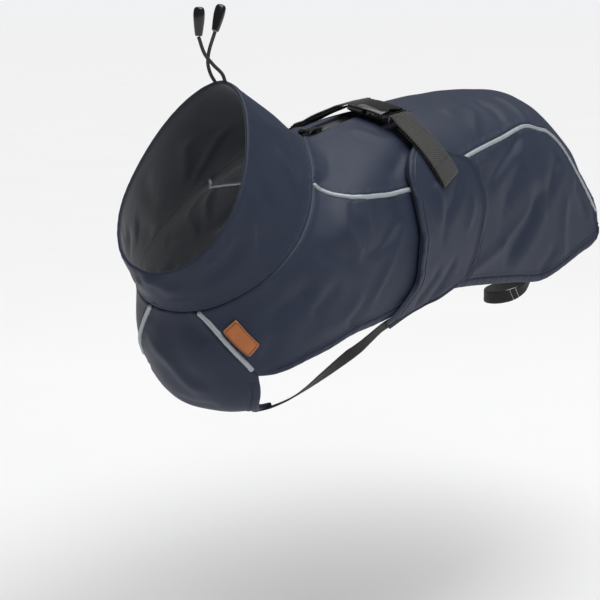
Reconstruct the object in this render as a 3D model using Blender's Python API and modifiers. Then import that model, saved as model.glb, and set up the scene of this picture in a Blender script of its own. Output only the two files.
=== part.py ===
"""A small dog's fleece-lined shell coat, buckled on and hollow, in the form it takes when worn.

The wearer faces -X with its tail at +X, +Z is up and -Y is the wearer's left. The origin lies on the
inner face of the back, on the plane of symmetry, where the wearer's back carries the coat.

The cloth follows one form: rings of cloth from the collar's rim back to the rear hem. A place on it is
a station (how far along the rings) and an angle (degrees round the ring from the spine, 180 under the
belly, + on the wearer's right). Panels, trims and straps are walls between two such surfaces.
"""
from collections import namedtuple
from math import cos, pi, sin

import bmesh
import bpy
import numpy as np
from mathutils import Matrix, Vector

MM = 0.001

# Cloth and trim, in metres.
CLOTH_WALL = 1.8 * MM
COLLAR_WALL = 2.4 * MM
SEAM_GAP = 0.3 * MM
PIPING_RADIUS = 1.8 * MM
PIPING_SINK = 0.1 * MM          # the piping's middle lies this far under the panels' faces
PIPING_START = 0.15             # share of its first run that the piping leaves free at the collar
WING_LIFT = 2.2 * MM            # the wings pass over the piping
LABEL_WALL = 1.4 * MM
STRAP_WALL = 1.2 * MM
STRAP_WIDTH = 9.0 * MM
LOOP_WIDTH = 10.0 * MM
WEBBING_WIDTH = 26.0 * MM
WEBBING_WALL = 1.6 * MM
FOLD_START = 0.35               # radians; the webbing's folded end turns from here to pi less this
WRAP_TURNS = (1.2, 4.5)         # radians round the buckle's bar that the webbing wraps
CORD_DIAMETER = 2.4 * MM

# Zip in the back, from the collar seam to under the buckle.
SLIT_HALF = 8.0 * MM
SLIT_ROWS = 8                   # rows of the side table that the slit runs through
TAPE_HALF = 12.0 * MM
TAPE_WALL = 1.0 * MM
TAPE_LIFT = -2.4 * MM
TAPE_START = 2.03               # the tape starts at this station and ends this much past the slit
TAPE_PAST = 0.1
SLIDER_X = -91.0 * MM
SLIDER_SIZE = (12.0 * MM, 8.6 * MM, 1.6 * MM)
CHEEK_LENGTH = 5.0 * MM
CHEEK_WALL = 1.2 * MM
CHEEK_TALL = 3.2 * MM
PIN_RADIUS = 0.7 * MM
PIN_TALL = 2.15 * MM             # the pin's height over the slider's body
TAB_LENGTH = 22.0 * MM
TAB_WIDTH = 7.4 * MM
TAB_WALL = 1.6 * MM
TAB_HEAD = 4.0 * MM              # the width of the neck between the cheeks
TAB_NECK = 5.0 * MM              # where the neck gives way to the blade
EYE_WALL = 0.8 * MM
TAB_HOLE = 1.5 * MM
RUN = 0.3 * MM                  # clearance round the pin and beside the cheeks

# Side-release buckle, lying across the back on the wearer's left of the spine.
BUCKLE_X = -20.0 * MM
BUCKLE_Y = -19.0 * MM
BUCKLE_LENGTH = 38.0 * MM
BUCKLE_WIDTH = 33.0 * MM
BUCKLE_TALL = 8.4 * MM
BUCKLE_LIFT = 1.0 * MM
BUCKLE_WALL = 1.6 * MM
MOUTH = -11.5 * MM              # the socket's mouth, along the buckle
GRIP_Y = -1.2 * MM              # the middle of the side windows and of the prongs' grips
BAR_RADIUS = 1.5 * MM
SOCKET_BAR = 16.6 * MM          # the webbing bars' places along the buckle
PLUG_BAR = -17.9 * MM
PLUG_DROP = -0.6 * MM           # the plug's frame lies this far under the socket's middle
SOCKET_ROUND = 2.2 * MM
CAVITY_END = 9.0 * MM           # how far along the buckle the cavity for the prongs runs
BAR_RAIL = 2.3 * MM             # the socket's wall between its cavity and its webbing slot
CUT_PAST = 2.0 * MM             # how far a cutter passes the face that it leaves by
SLOT_SPARE = 1.5 * MM           # the webbing slots are this much wider than the webbing
WINDOW_LENGTH = 10.0 * MM
WINDOW_TALL = 3.6 * MM
ARCH_RADIUS = 14.0 * MM         # the curved notch in the top of the socket's mouth
ARCH_DEPTH = 1.7 * MM
FRAME_TALL = 4.6 * MM
FRAME_SLOT = 6.0 * MM           # how far the plug's webbing slot runs in from its end
GUIDE_SIZE = (5.0 * MM, 14.0 * MM, 2.6 * MM)
GUIDE_DROP = -0.2 * MM
ARM_SIZE = (3.4 * MM, 16.0 * MM, 2.8 * MM)
ARM_INSET = 4.2 * MM            # the prongs' middles lie this far inside the buckle's sides
GRIP_RADIUS = 4.4 * MM
GRIP_OUT = 0.6 * MM
PLUG_ROUND = 0.5 * MM

CORD_END_LENGTH = 18.5 * MM
CORD_END_RADIUS = 3.7 * MM
# height and fatness, as shares of the cord end's length and radius
CORD_END_PROFILE = ((0.0, 0.62), (0.12, 0.74), (0.62, 1.0), (0.88, 0.94), (0.97, 0.66))

Ring = namedtuple("Ring", "name top_x top_z low_x low_z half_width widest round_top round_low")
RINGS = (
    # widest: how far down the ring it is widest; round: 1 is an ellipse, less is boxier (all mm)
    Ring("collar rim", -188, 30.0, -264, -89, 46, 0.60, 1.10, 0.92),
    Ring("collar", -143, 9.0, -255, -104, 53, 0.60, 1.18, 0.92),
    Ring("collar seam", -101, -11.0, -244, -117, 60, 0.60, 1.25, 0.92),
    Ring("chest", -62, -6.0, -236, -156, 70, 0.50, 1.00, 0.80),
    Ring("brisket", -28, -1.0, -203, -192, 73, 0.46, 0.95, 0.76),
    Ring("belly strap", 0, 1.8, -128, -191, 75, 0.46, 0.93, 0.82),
    Ring("girth", 52, 7.5, -26, -176, 76, 0.47, 0.92, 0.80),
    Ring("loin", 107, 11.0, 54, -172, 78, 0.48, 0.92, 0.64),
    Ring("croup", 162, 11.0, 122, -176, 82, 0.48, 0.94, 0.58),
    Ring("rump", 212, 6.0, 172, -182, 86, 0.50, 1.12, 0.56),
    Ring("tail", 253, -15.0, 198, -184, 88, 0.53, 1.26, 0.58),
    Ring("dock", 286, -49.0, 212, -182, 89, 0.55, 1.28, 0.62),
    Ring("rear hem", 317, -90.0, 222, -184, 90, 0.57, 1.25, 0.70),
)
SEAM = 2.0                      # station of the collar seam
COLLAR_END = SEAM - 0.012       # where the collar stops and the panels start, the seam's gap apart
SEAM_START = SEAM + 0.008
NECK_SLIDE = 0.17                # how far forward the neck seam's sides are drawn, in stations
NECK_SLIDE_REACH = 0.6
NECK_SLIDE_ANGLES = (8.0, 13.0, 20.0, 27.0, 38.0, 52.0, 62.0, 74.0, 84.0)

SideRow = namedtuple("SideRow", "top_station top_angle low_station low_angle middle")
SIDE_ROWS = (
    # top: the back piping; low: chest piping, then leg opening, then hem; middle: the back's centre
    SideRow(2.00, 53.5, 2.00, 163.0, 2.00),
    SideRow(2.22, 56.0, 2.45, 155.0, 2.22),
    SideRow(2.50, 60.5, 2.88, 149.0, 2.50),
    SideRow(2.83, 65.0, 3.40, 145.0, 2.83),
    SideRow(3.10, 66.5, 3.62, 134.0, 3.10),
    SideRow(3.35, 66.5, 3.82, 125.0, 3.35),
    SideRow(3.70, 66.3, 4.12, 119.0, 3.70),
    SideRow(4.10, 66.0, 4.45, 115.5, 4.10),
    SideRow(4.60, 66.0, 4.90, 116.5, 4.55),
    SideRow(5.15, 65.0, 5.35, 117.5, 5.10),
    SideRow(5.60, 63.0, 5.80, 118.5, 5.60),
    SideRow(6.00, 60.0, 6.30, 119.0, 6.00),
    SideRow(6.55, 57.0, 6.88, 119.0, 6.55),
    SideRow(7.00, 54.3, 7.30, 119.5, 7.00),
    SideRow(7.40, 51.0, 7.73, 120.0, 7.40),
    SideRow(7.73, 48.8, 8.05, 120.3, 7.73),
    SideRow(8.08, 49.6, 8.35, 118.8, 8.06),
    SideRow(8.55, 50.4, 8.70, 113.0, 8.52),
    SideRow(8.80, 53.4, 9.00, 108.0, 8.86),
    SideRow(9.00, 58.2, 9.35, 103.0, 9.22),
    SideRow(9.20, 63.8, 9.75, 98.5, 9.60),
    SideRow(9.52, 69.0, 10.15, 95.0, 10.10),
    SideRow(10.02, 72.4, 10.50, 91.5, 10.70),
    SideRow(10.50, 74.6, 10.62, 88.5, 11.40),
)
CHEST_ROWS = 4                  # rows of the side table that run along the chest piping

BibRow = namedtuple("BibRow", "edge_station edge_angle middle")
BIB_ROWS = (
    # below the chest piping the bib's edge is the leg opening's
    BibRow(3.70, 149.0, 3.68),
    BibRow(4.00, 157.0, 3.96),
    BibRow(4.20, 162.0, 4.18),
    BibRow(4.42, 162.5, 4.42),
)

WingRow = namedtuple("WingRow", "front_station front_angle rear_station rear_angle")
WING_ROWS = (
    # from the tip under the webbing down to the neck that the belly strap is sewn to
    WingRow(4.80, 37.0, 5.00, 36.0),
    WingRow(4.62, 44.5, 5.22, 44.0),
    WingRow(4.42, 48.5, 5.36, 50.5),
    WingRow(4.28, 54.0, 5.50, 56.0),
    WingRow(4.27, 60.0, 5.82, 62.0),
    WingRow(4.38, 64.5, 5.95, 66.5),
    WingRow(4.60, 72.0, 6.08, 74.0),
    WingRow(4.84, 81.0, 6.26, 84.0),
    WingRow(5.02, 88.0, 6.37, 91.5),
    WingRow(5.16, 94.5, 6.45, 98.0),
    WingRow(5.28, 104.0, 6.46, 106.5),
    WingRow(5.24, 110.0, 6.36, 113.0),
    WingRow(5.18, 113.5, 5.92, 119.0),
    WingRow(5.12, 115.5, 5.50, 120.5),
    WingRow(5.04, 117.0, 5.22, 122.5),
)

RoutePoint = namedtuple("RoutePoint", "station angle lift")
WEBBING_LEFT = (
    # the route that the webbing lies along, from its folded end up to its bar
    RoutePoint(5.42, 68.0, 0.0), RoutePoint(5.27, 60.5, 0.0), RoutePoint(5.05, 50.5, 0.0),
    RoutePoint(4.82, 40.5, 0.3), RoutePoint(4.70, 34.0, 0.6),
)
WEBBING_RIGHT = (
    RoutePoint(5.42, 68.0, 0.0), RoutePoint(5.27, 60.5, 0.0), RoutePoint(5.05, 50.5, 0.0),
    RoutePoint(4.81, 40.0, 0.0), RoutePoint(4.73, 35.2, 0.0), RoutePoint(4.64, 30.0, -1.9),
    RoutePoint(4.52, 24.5, -2.2), RoutePoint(4.42, 18.5, -2.2), RoutePoint(4.34, 12.5, -1.5),
    RoutePoint(4.29, 6.0, 0.3),
)
LABEL_CORNERS = ((2.36, 142.5), (2.92, 136.8), (3.01, 144.0), (2.46, 151.6))

# Elastic runs on the wearer's right: where each end is sewn to the cloth, and the free run between.
FreePoint = namedtuple("FreePoint", "x y z out_x out_y out_z")
BELLY_STRAP_SEWN = (
    (RoutePoint(5.24, 119.3, 1.0),),
    (RoutePoint(4.42, 163.0, 1.2), RoutePoint(4.28, 168.0, 1.2)),
)
BELLY_STRAP_FREE = (
    # from the wing's neck down inside the foreleg to the bib's rear corner (mm)
    FreePoint(-88, 65.0, -147.0, -0.05, 0.93, -0.35),
    FreePoint(-95, 59.5, -154.0, -0.25, 0.90, -0.30),
    FreePoint(-99, 53.0, -161.0, -0.45, 0.85, -0.20),
    FreePoint(-104, 46.0, -167.5, -0.55, 0.80, -0.20),
    FreePoint(-125, 38.0, -179.0, -0.35, 0.75, -0.55),
    FreePoint(-150, 32.5, -188.5, -0.10, 0.50, -0.85),
)
LOOP_SEWN = ((RoutePoint(8.05, 113.0, -3.1),), (RoutePoint(9.25, 98.5, -3.6),))
LOOP_FREE = (
    # round the hind leg, both ends sewn inside the side panel above the hem (mm)
    FreePoint(138, 70, -147, 0.0, 0.95, -0.30),
    FreePoint(135, 67, -152, -0.30, 0.92, -0.20),
    FreePoint(129, 59, -157, -0.85, 0.50, -0.10),
    FreePoint(127, 47, -160, -1.00, 0.00, 0.00),
    FreePoint(132, 35, -161, -0.75, -0.65, 0.00),
    FreePoint(147, 27, -161, -0.20, -0.98, 0.00),
    FreePoint(167, 26, -160, 0.15, -0.98, 0.00),
    FreePoint(185, 33, -157, 0.55, -0.83, 0.00),
    FreePoint(196, 46, -151, 0.85, -0.50, 0.10),
    FreePoint(201, 60, -141, 0.98, -0.10, 0.10),
    FreePoint(202, 73, -129, 0.85, 0.50, 0.00),
)

# Drawcord: the free ends stand up behind the wearer's head, out of the collar's rim at the nape (mm).
CORD_ANGLE = 7.0
CORD_CLEAR = 0.75 * MM
CORD_ROUTES = {
    "left": ((-195.0, -5.6, 34.5), (-204.0, -5.4, 40.5), (-212.5, -4.8, 48.0), (-217.3, -4.0, 58.4)),
    "right": ((-193.0, 5.3, 34.0), (-196.5, 4.8, 41.0), (-195.6, 4.3, 49.5), (-189.6, 4.0, 61.4)),
}
CORD_TIPS = {"left": (-216.6, -4.0, 72.3), "right": (-183.9, 4.0, 75.0)}

NAVY = (0.060, 0.071, 0.110)
NAVY_FOLDED = (0.052, 0.062, 0.098)
PIPING_GREY = (0.42, 0.46, 0.49)
ELASTIC_BLACK = (0.020, 0.021, 0.022)
WEBBING_BLACK = (0.030, 0.031, 0.030)
TAPE_GREY = (0.050, 0.052, 0.046)
HARD_BLACK = (0.012, 0.012, 0.013)
LEATHER_TAN = (0.47, 0.18, 0.055)


def clear_scene():
    """Remove whatever the file holds."""
    for thing in list(bpy.data.objects):
        bpy.data.objects.remove(thing, do_unlink=True)


def make_collection(name):
    """A new collection in the scene."""
    collection = bpy.data.collections.new(name)
    bpy.context.scene.collection.children.link(collection)
    return collection


def plain_material(name, colour, roughness, metallic=0.0):
    """A Principled material of one colour."""
    material = bpy.data.materials.new(name)
    material.use_nodes = True
    shader = material.node_tree.nodes["Principled BSDF"]
    shader.inputs["Base Color"].default_value = (*colour, 1.0)
    shader.inputs["Roughness"].default_value = roughness
    shader.inputs["Metallic"].default_value = metallic
    return material


# The form -----------------------------------------------------------------------------------------

RING_VALUES = np.array([ring[1:] for ring in RINGS], dtype=float)
LAST_STATION = len(RINGS) - 1.0


def glide(rows, place):
    """Rows of numbers joined by a smooth curve through each of them, read at a fractional row."""
    rows = np.asarray(rows, dtype=float)
    place = np.clip(np.asarray(place, dtype=float), 0.0, len(rows) - 1.0)
    row = np.clip(np.floor(place).astype(int), 0, len(rows) - 2)
    t = (place - row)[..., None]
    here, after = rows[row], rows[row + 1]
    before = np.where((row > 0)[..., None], rows[np.maximum(row - 1, 0)], 2 * here - after)
    later_row = np.minimum(row + 2, len(rows) - 1)
    later = np.where((row < len(rows) - 2)[..., None], rows[later_row], 2 * after - here)
    bend = 2 * before - 5 * here + 4 * after - later
    twist = 3 * here - before - 3 * after + later
    return 0.5 * (2 * here + (after - before) * t + bend * t**2 + twist * t**3)


def neck_slide(station, angle):
    """The station with the neck seam's sides drawn forward over the shoulders."""
    side = np.interp(np.abs(angle), NECK_SLIDE_ANGLES, (0.0, 0.15, 0.6, 0.95, 1.0, 0.85, 0.5, 0.15, 0.0))
    return station - NECK_SLIDE * side * np.exp(-((station - SEAM) / NECK_SLIDE_REACH) ** 2)


def ring_point(station, angle):
    """The form's point at a station and an angle in degrees."""
    station, angle = np.broadcast_arrays(np.asarray(station, float), np.asarray(angle, float))
    values = glide(RING_VALUES, neck_slide(station, angle))
    top_x, top_z, low_x, low_z, half_width, widest, round_top, round_low = np.moveaxis(values, -1, 0)
    turn = np.radians(angle)
    across, down = np.sin(turn), np.cos(turn)
    power = np.where(down >= 0, round_top, round_low)
    level = np.abs(down) ** power
    depth = np.where(down >= 0, widest * (1 - level), widest + (1 - widest) * level)
    x = top_x + (low_x - top_x) * depth
    z = top_z + (low_z - top_z) * depth
    y = half_width * np.sign(across) * np.abs(across) ** power
    return np.stack([x, y, z], axis=-1) * MM


def form_frame(station, angle):
    """The form's slopes along and round it, and its outward direction."""
    step, turn_step = 0.01, 0.5
    inside = np.clip(station, step, LAST_STATION - step)
    along = (ring_point(inside + step, angle) - ring_point(inside - step, angle)) / (2 * step)
    around = ring_point(station, angle + turn_step) - ring_point(station, angle - turn_step)
    around /= 2 * turn_step
    out = np.cross(along, around)
    out /= np.linalg.norm(out, axis=-1, keepdims=True)
    return along, around, out


def on_form(station, angle, lift=0.0):
    """A point lifted off the form along its outward direction."""
    station, angle = np.broadcast_arrays(np.asarray(station, float), np.asarray(angle, float))
    out = form_frame(station, angle)[2]
    middle = 0.5 * (ring_point(station, 0.0 * angle) + ring_point(station, 0.0 * angle + 180.0))
    away = np.sign(np.sum(out * (ring_point(station, angle) - middle), axis=-1, keepdims=True))
    return ring_point(station, angle) + out * away * np.asarray(lift)[..., None]


def outward(station, angle):
    """The form's outward direction."""
    direction = on_form(station, angle, 1.0) - on_form(station, angle, 0.0)
    return direction / np.linalg.norm(direction, axis=-1, keepdims=True)


def set_back(edge, distance, towards):
    """An edge curve of (station, angle) rows, moved along the form by a distance, to the side of itself
    on which the angle named by towards lies."""
    edge = np.asarray(edge, dtype=float)
    distance = np.broadcast_to(np.asarray(distance, float), len(edge))
    along, around, out = form_frame(edge[:, 0], edge[:, 1])
    run = np.gradient(on_form(edge[:, 0], edge[:, 1]), axis=0)
    aside = np.cross(run, out)
    aside /= np.linalg.norm(aside, axis=-1, keepdims=True)
    side = np.sign(np.sum(aside * around, axis=-1) * (towards - edge[:, 1]))
    moved = edge.copy()
    for row, (slope_along, slope_around) in enumerate(zip(along, around)):
        slopes = np.stack([slope_along, slope_around], axis=-1)
        step = aside[row] * side[row] * distance[row]
        moved[row] += np.linalg.lstsq(slopes, step, rcond=None)[0]
    return moved


# Makers -------------------------------------------------------------------------------------------

def finish_mesh(name, mesh, material, collection, smooth=True):
    """An object of a bmesh, its faces turned out, in the part's collection."""
    bmesh.ops.recalc_face_normals(mesh, faces=mesh.faces)
    if mesh.calc_volume(signed=True) < 0:
        bmesh.ops.reverse_faces(mesh, faces=mesh.faces)
    data = bpy.data.meshes.new(name)
    mesh.to_mesh(data)
    mesh.free()
    if smooth:
        data.shade_smooth()
    thing = bpy.data.objects.new(name, data)
    thing.data.materials.append(material)
    collection.objects.link(thing)
    return thing


def wall(name, outer, inner, material, collection, closed=False, left_out=()):
    """A closed wall between two grids of points; closed joins the last column to the first."""
    rows, columns = outer.shape[:2]
    mesh = bmesh.new()
    tops = [[mesh.verts.new(p) for p in row] for row in outer]
    unders = [[mesh.verts.new(p) for p in row] for row in inner]
    spans = columns if closed else columns - 1
    directed = {}
    for row in range(rows - 1):
        for column in range(spans):
            if (row, column) in left_out:
                continue
            beside = (column + 1) % columns
            corners = [(row, column), (row, beside), (row + 1, beside), (row + 1, column)]
            mesh.faces.new([tops[r][c] for r, c in corners])
            mesh.faces.new([unders[r][c] for r, c in reversed(corners)])
            for here, there in zip(corners, corners[1:] + corners[:1]):
                directed[here, there] = True
    for here, there in directed:
        if (there, here) not in directed:
            (r0, c0), (r1, c1) = here, there
            mesh.faces.new([tops[r1][c1], tops[r0][c0], unders[r0][c0], unders[r1][c1]])
    loose = [vertex for vertex in mesh.verts if not vertex.link_faces]
    bmesh.ops.delete(mesh, geom=loose, context="VERTS")
    return finish_mesh(name, mesh, material, collection)


def cloth(name, places, lift, thickness, material, collection, **options):
    """A cloth wall on a grid of (station, angle) places: its inner face lies at the lift."""
    places = np.asarray(places, dtype=float)
    outer = on_form(places[..., 0], places[..., 1], lift + thickness)
    inner = on_form(places[..., 0], places[..., 1], lift)
    return wall(name, outer, inner, material, collection, **options)


def between(first, last, shares):
    """Rows of places spread between two edge curves."""
    shares = np.asarray(shares)[None, :, None]
    return first[:, None, :] * (1 - shares) + last[:, None, :] * shares


def ribbon(name, points, outs, width, thickness, material, collection):
    """A flat strap along points, its face turned to the outs."""
    points, outs = np.asarray(points), np.asarray(outs)
    steps = np.diff(points, axis=0)
    steps /= np.linalg.norm(steps, axis=1, keepdims=True)
    run = np.vstack([steps[:1], steps[:-1] + steps[1:], steps[-1:]])
    run /= np.linalg.norm(run, axis=1, keepdims=True)
    side = np.cross(run, outs)
    side /= np.linalg.norm(side, axis=1, keepdims=True)
    face = np.cross(side, run)
    across = side[:, None, :] * np.array([-0.5, 0.5])[None, :, None] * width
    outer = points[:, None, :] + across + face[:, None, :] * thickness / 2
    inner = points[:, None, :] + across - face[:, None, :] * thickness / 2
    return wall(name, outer, inner, material, collection)


def tube(name, points, radius, material, collection, roundness=2):
    """A round cord along points, with filled ends."""
    curve = bpy.data.curves.new(name, "CURVE")
    curve.dimensions = "3D"
    curve.bevel_depth = radius
    curve.bevel_resolution = roundness
    curve.use_fill_caps = True
    spline = curve.splines.new("POLY")
    spline.points.add(len(points) - 1)
    for point, place in zip(spline.points, points):
        point.co = (*place, 1.0)
    curve.materials.append(material)
    thing = bpy.data.objects.new(name, curve)
    collection.objects.link(thing)
    return thing


def box(name, size, place, collection, material=None):
    """A box of a full size about a place."""
    mesh = bmesh.new()
    bmesh.ops.create_cube(mesh, size=1.0)
    bmesh.ops.scale(mesh, vec=Vector(size), verts=mesh.verts)
    bmesh.ops.translate(mesh, vec=Vector(place), verts=mesh.verts)
    data = bpy.data.meshes.new(name)
    mesh.to_mesh(data)
    mesh.free()
    thing = bpy.data.objects.new(name, data)
    if material:
        data.materials.append(material)
    collection.objects.link(thing)
    return thing


def rod(name, radius, length, place, axis, collection, sides=16):
    """A cylinder about a place, along X, Y or Z."""
    mesh = bmesh.new()
    bmesh.ops.create_cone(mesh, cap_ends=True, segments=sides, radius1=radius, radius2=radius, depth=length)
    turns = {"X": Matrix.Rotation(pi / 2, 4, "Y"), "Y": Matrix.Rotation(pi / 2, 4, "X")}
    turn = turns.get(axis, Matrix.Identity(4))
    bmesh.ops.transform(mesh, matrix=Matrix.Translation(place) @ turn, verts=mesh.verts)
    data = bpy.data.meshes.new(name)
    mesh.to_mesh(data)
    mesh.free()
    thing = bpy.data.objects.new(name, data)
    collection.objects.link(thing)
    return thing


def as_tool(thing, parent):
    """A guide or cutter that follows its piece and isn't part of the model."""
    thing.hide_render = True
    thing.display_type = "WIRE"
    thing.parent = parent
    return thing


def apply_tool(thing, tool, operation):
    """Cut a piece by a tool, or join the tool to it."""
    modifier = thing.modifiers.new(tool.name, "BOOLEAN")
    modifier.operation = operation
    modifier.object = tool
    modifier.solver = "EXACT"


def round_edges(thing, radius, segments=2):
    """Round a piece's sharp edges."""
    modifier = thing.modifiers.new("rounded", "BEVEL")
    modifier.width = radius
    modifier.segments = segments
    modifier.limit_method = "ANGLE"


# Cloth --------------------------------------------------------------------------------------------

def back_edge(side):
    """The seam of the back piping: (station, angle) rows on one side, -1 left, 1 right."""
    return np.array([(row.top_station, side * row.top_angle) for row in SIDE_ROWS])


def low_edge(side):
    """The side panel's lower edge: chest piping, leg opening and hem."""
    return np.array([(row.low_station, side * row.low_angle) for row in SIDE_ROWS])


def start_after(edge, station):
    """An edge whose first row stops short of the collar seam, on the line to its second row."""
    edge = edge.copy()
    edge[0] += (edge[1] - edge[0]) * (station - edge[0, 0]) / (edge[1, 0] - edge[0, 0])
    return edge


def build_collar(material, collection):
    """The stand-up collar, a tube of doubled cloth from its rim to the seam."""
    stations = np.linspace(0.0, COLLAR_END, 6)
    angles = np.linspace(-180.0, 180.0, 41)[:-1]
    places = np.stack(np.meshgrid(stations, angles, indexing="ij"), axis=-1)
    cloth("collar", places, -COLLAR_WALL, COLLAR_WALL, material, collection, closed=True)


def slit_angle(stations, half):
    """The angle on each ring that lies half a width off the spine."""
    values = glide(RING_VALUES, stations)
    share = half / (values[..., 4] * MM)
    return np.degrees(np.arcsin(share ** (1 / values[..., 6])))


def build_back(material, collection):
    """The back between its pipings, with the zip's slit open at the collar seam."""
    trim = PIPING_RADIUS + SEAM_GAP
    left = start_after(set_back(back_edge(-1), trim, 0.0), SEAM_START)
    middle = np.array([row.middle for row in SIDE_ROWS])
    middle[0] = SEAM_START
    slit = slit_angle(middle, SLIT_HALF)
    columns = 6
    places = []
    for (edge_station, edge_angle), centre, gap in zip(left, middle, slit):
        angles = np.concatenate([np.linspace(edge_angle, -gap, columns), [0.0],
                                 np.linspace(gap, -edge_angle, columns)])
        share = (angles / edge_angle) ** 2
        places.append(np.stack([centre + (edge_station - centre) * share, angles], axis=-1))
    slit_cells = {(row, column) for row in range(SLIT_ROWS) for column in (columns - 1, columns)}
    cloth("back_panel", places, -CLOTH_WALL, CLOTH_WALL, material, collection, left_out=slit_cells)


def build_side(side, word, material, collection):
    """One side panel, from the back piping down to the chest piping, leg opening and hem."""
    trim = PIPING_RADIUS + SEAM_GAP
    top = start_after(set_back(back_edge(side), trim, side * 120.0), SEAM_START)
    rows = len(SIDE_ROWS)
    low_trim = np.where(np.arange(rows) < CHEST_ROWS, trim, 0.0)
    low = start_after(set_back(low_edge(side), low_trim, side * 60.0), SEAM_START)
    places = between(top, low, np.linspace(0.0, 1.0, 9))
    cloth(f"side_panel_{word}", places, -CLOTH_WALL, CLOTH_WALL, material, collection)


def bib_edge():
    """The bib's right edge, from the collar seam to its rear hem, and its middle stations."""
    chest = [(row.low_station, row.low_angle) for row in SIDE_ROWS[:CHEST_ROWS]]
    rest = [(row.edge_station, row.edge_angle) for row in BIB_ROWS]
    middle = [row[0] for row in chest] + [row.middle for row in BIB_ROWS]
    return np.array(chest + rest), np.array(middle)


def build_bib(material, collection):
    """The chest bib, which narrows to pass between the forelegs."""
    edge, middle = bib_edge()
    trim = PIPING_RADIUS + SEAM_GAP
    distance = np.where(np.arange(len(edge)) < CHEST_ROWS, trim, 0.0)
    edge = start_after(set_back(edge, distance, 180.0), SEAM_START)
    middle[0] = SEAM_START
    spread = np.linspace(-1.0, 1.0, 11)
    places = []
    for (station, angle), centre in zip(edge, middle):
        reach = 180.0 - angle
        stations = centre + (station - centre) * spread**2
        places.append(np.stack([stations, 180.0 + spread * reach], axis=-1))
    cloth("chest_bib", places, -CLOTH_WALL, CLOTH_WALL, material, collection)


def build_wing(side, word, material, collection):
    """A wing, drawn over the side panel from under the webbing to the belly strap."""
    front = np.array([(row.front_station, side * row.front_angle) for row in WING_ROWS])
    rear = np.array([(row.rear_station, side * row.rear_angle) for row in WING_ROWS])
    places = between(front, rear, np.linspace(0.0, 1.0, 7))
    cloth(f"wing_{word}", places, WING_LIFT, CLOTH_WALL, material, collection)


# Trim ---------------------------------------------------------------------------------------------

def build_piping(side, word, material, collection):
    """The back piping, from the collar seam to the rear hem, and the short one down the chest."""
    seam = back_edge(side)
    seam[0] += PIPING_START * (seam[1] - seam[0])
    points = on_form(seam[:, 0], seam[:, 1], -PIPING_SINK)
    tube(f"back_piping_{word}", points, PIPING_RADIUS, material, collection)
    seam = low_edge(side)[:CHEST_ROWS]
    seam[0] += PIPING_START * (seam[1] - seam[0])
    points = on_form(seam[:, 0], seam[:, 1], -PIPING_SINK)
    tube(f"chest_piping_{word}", points, PIPING_RADIUS, material, collection)


def build_elastic(name, side, sewn, free, width, material, collection):
    """Elastic pulled between two ends sewn to the cloth."""
    ends = []
    for places in sewn:
        stations, angles, lifts = np.array(places).T
        ends.append(np.hstack([on_form(stations, angles, lifts * MM) / MM, outward(stations, angles)]))
    rows = np.vstack([ends[0], free, ends[1]])
    rows = glide(rows, np.linspace(0, len(rows) - 1, 3 * len(rows) - 2))
    rows = rows * (1.0, side, 1.0, 1.0, side, 1.0)
    ribbon(name, rows[:, :3] * MM, rows[:, 3:], width, STRAP_WALL, material, collection)


def build_label(material, collection):
    """A bare leather label on the left side panel, along the chest piping."""
    top_rear, low_rear, low_front, top_front = [np.array(corner) for corner in LABEL_CORNERS]
    places = []
    for share in np.linspace(0.0, 1.0, 6):
        rear = top_rear + (low_rear - top_rear) * share
        front = top_front + (low_front - top_front) * share
        places.append([front + (rear - front) * t for t in (0.0, 0.5, 1.0)])
    places = np.array(places) * (1.0, -1.0)
    cloth("label", places, SEAM_GAP, LABEL_WALL, material, collection)


def webbing_route(route, side, buckle, bar_place):
    """The webbing's middle: up from under the bar to its folded end on the wing, and back over the bar."""
    under = WING_LIFT + CLOTH_WALL + SEAM_GAP + WEBBING_WALL / 2
    over = under + WEBBING_WALL + SEAM_GAP
    rows = glide([row for row in route], np.linspace(0, len(route) - 1, 3 * len(route) - 2))
    stations, angles, extra = rows[:, 0], side * rows[:, 1], rows[:, 2] * MM
    lower = on_form(stations, angles, under + extra)
    upper = on_form(stations, angles, over + extra)
    outs = outward(stations, angles)
    fold_out = outs[0]
    run = lower[0] - lower[1]
    run /= np.linalg.norm(run)
    middle = 0.5 * (lower[0] + upper[0])
    reach = (over - under) / 2
    fold_turns = np.linspace(FOLD_START, pi - FOLD_START, 4)
    fold_outs = [run * sin(t) - fold_out * cos(t) for t in fold_turns]
    fold = [middle + reach * out for out in fold_outs]
    reach = BAR_RADIUS + SEAM_GAP + WEBBING_WALL / 2
    turn, centre = buckle.to_3x3(), np.array(buckle @ bar_place)
    wrap_turns = np.linspace(*WRAP_TURNS, 8)
    wrap_outs = [np.array(turn @ Vector((0.0, side * cos(t), sin(t)))) for t in wrap_turns]
    wrap = [centre + reach * out for out in wrap_outs]
    points = np.vstack([lower[::-1], fold, upper, wrap])
    faces = np.vstack([-outs[::-1], fold_outs, outs, wrap_outs])
    return points, faces


# Buckle -------------------------------------------------------------------------------------------

def buckle_matrix():
    """The buckle's place: its length along Y, tipped to lie on the back's slope."""
    stations = np.linspace(4.0, 5.4, 141)
    angles = np.linspace(0.0, -40.0, 161)
    grid = np.stack(np.meshgrid(stations, angles, indexing="ij"), axis=-1)
    points = on_form(grid[..., 0], grid[..., 1])
    nearest = np.argmin(np.hypot(points[..., 0] - BUCKLE_X, points[..., 1] - BUCKLE_Y))
    station, angle = grid.reshape(-1, 2)[nearest]
    base = points.reshape(-1, 3)[nearest]
    up = Vector(outward(station, angle))
    across = Vector((0.0, 1.0, 0.0)).cross(up).normalized()
    turn = Matrix((across, up.cross(across), up)).transposed().to_4x4()
    return Matrix.Translation(Vector(base) + up * (BUCKLE_LIFT + BUCKLE_TALL / 2)) @ turn


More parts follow.
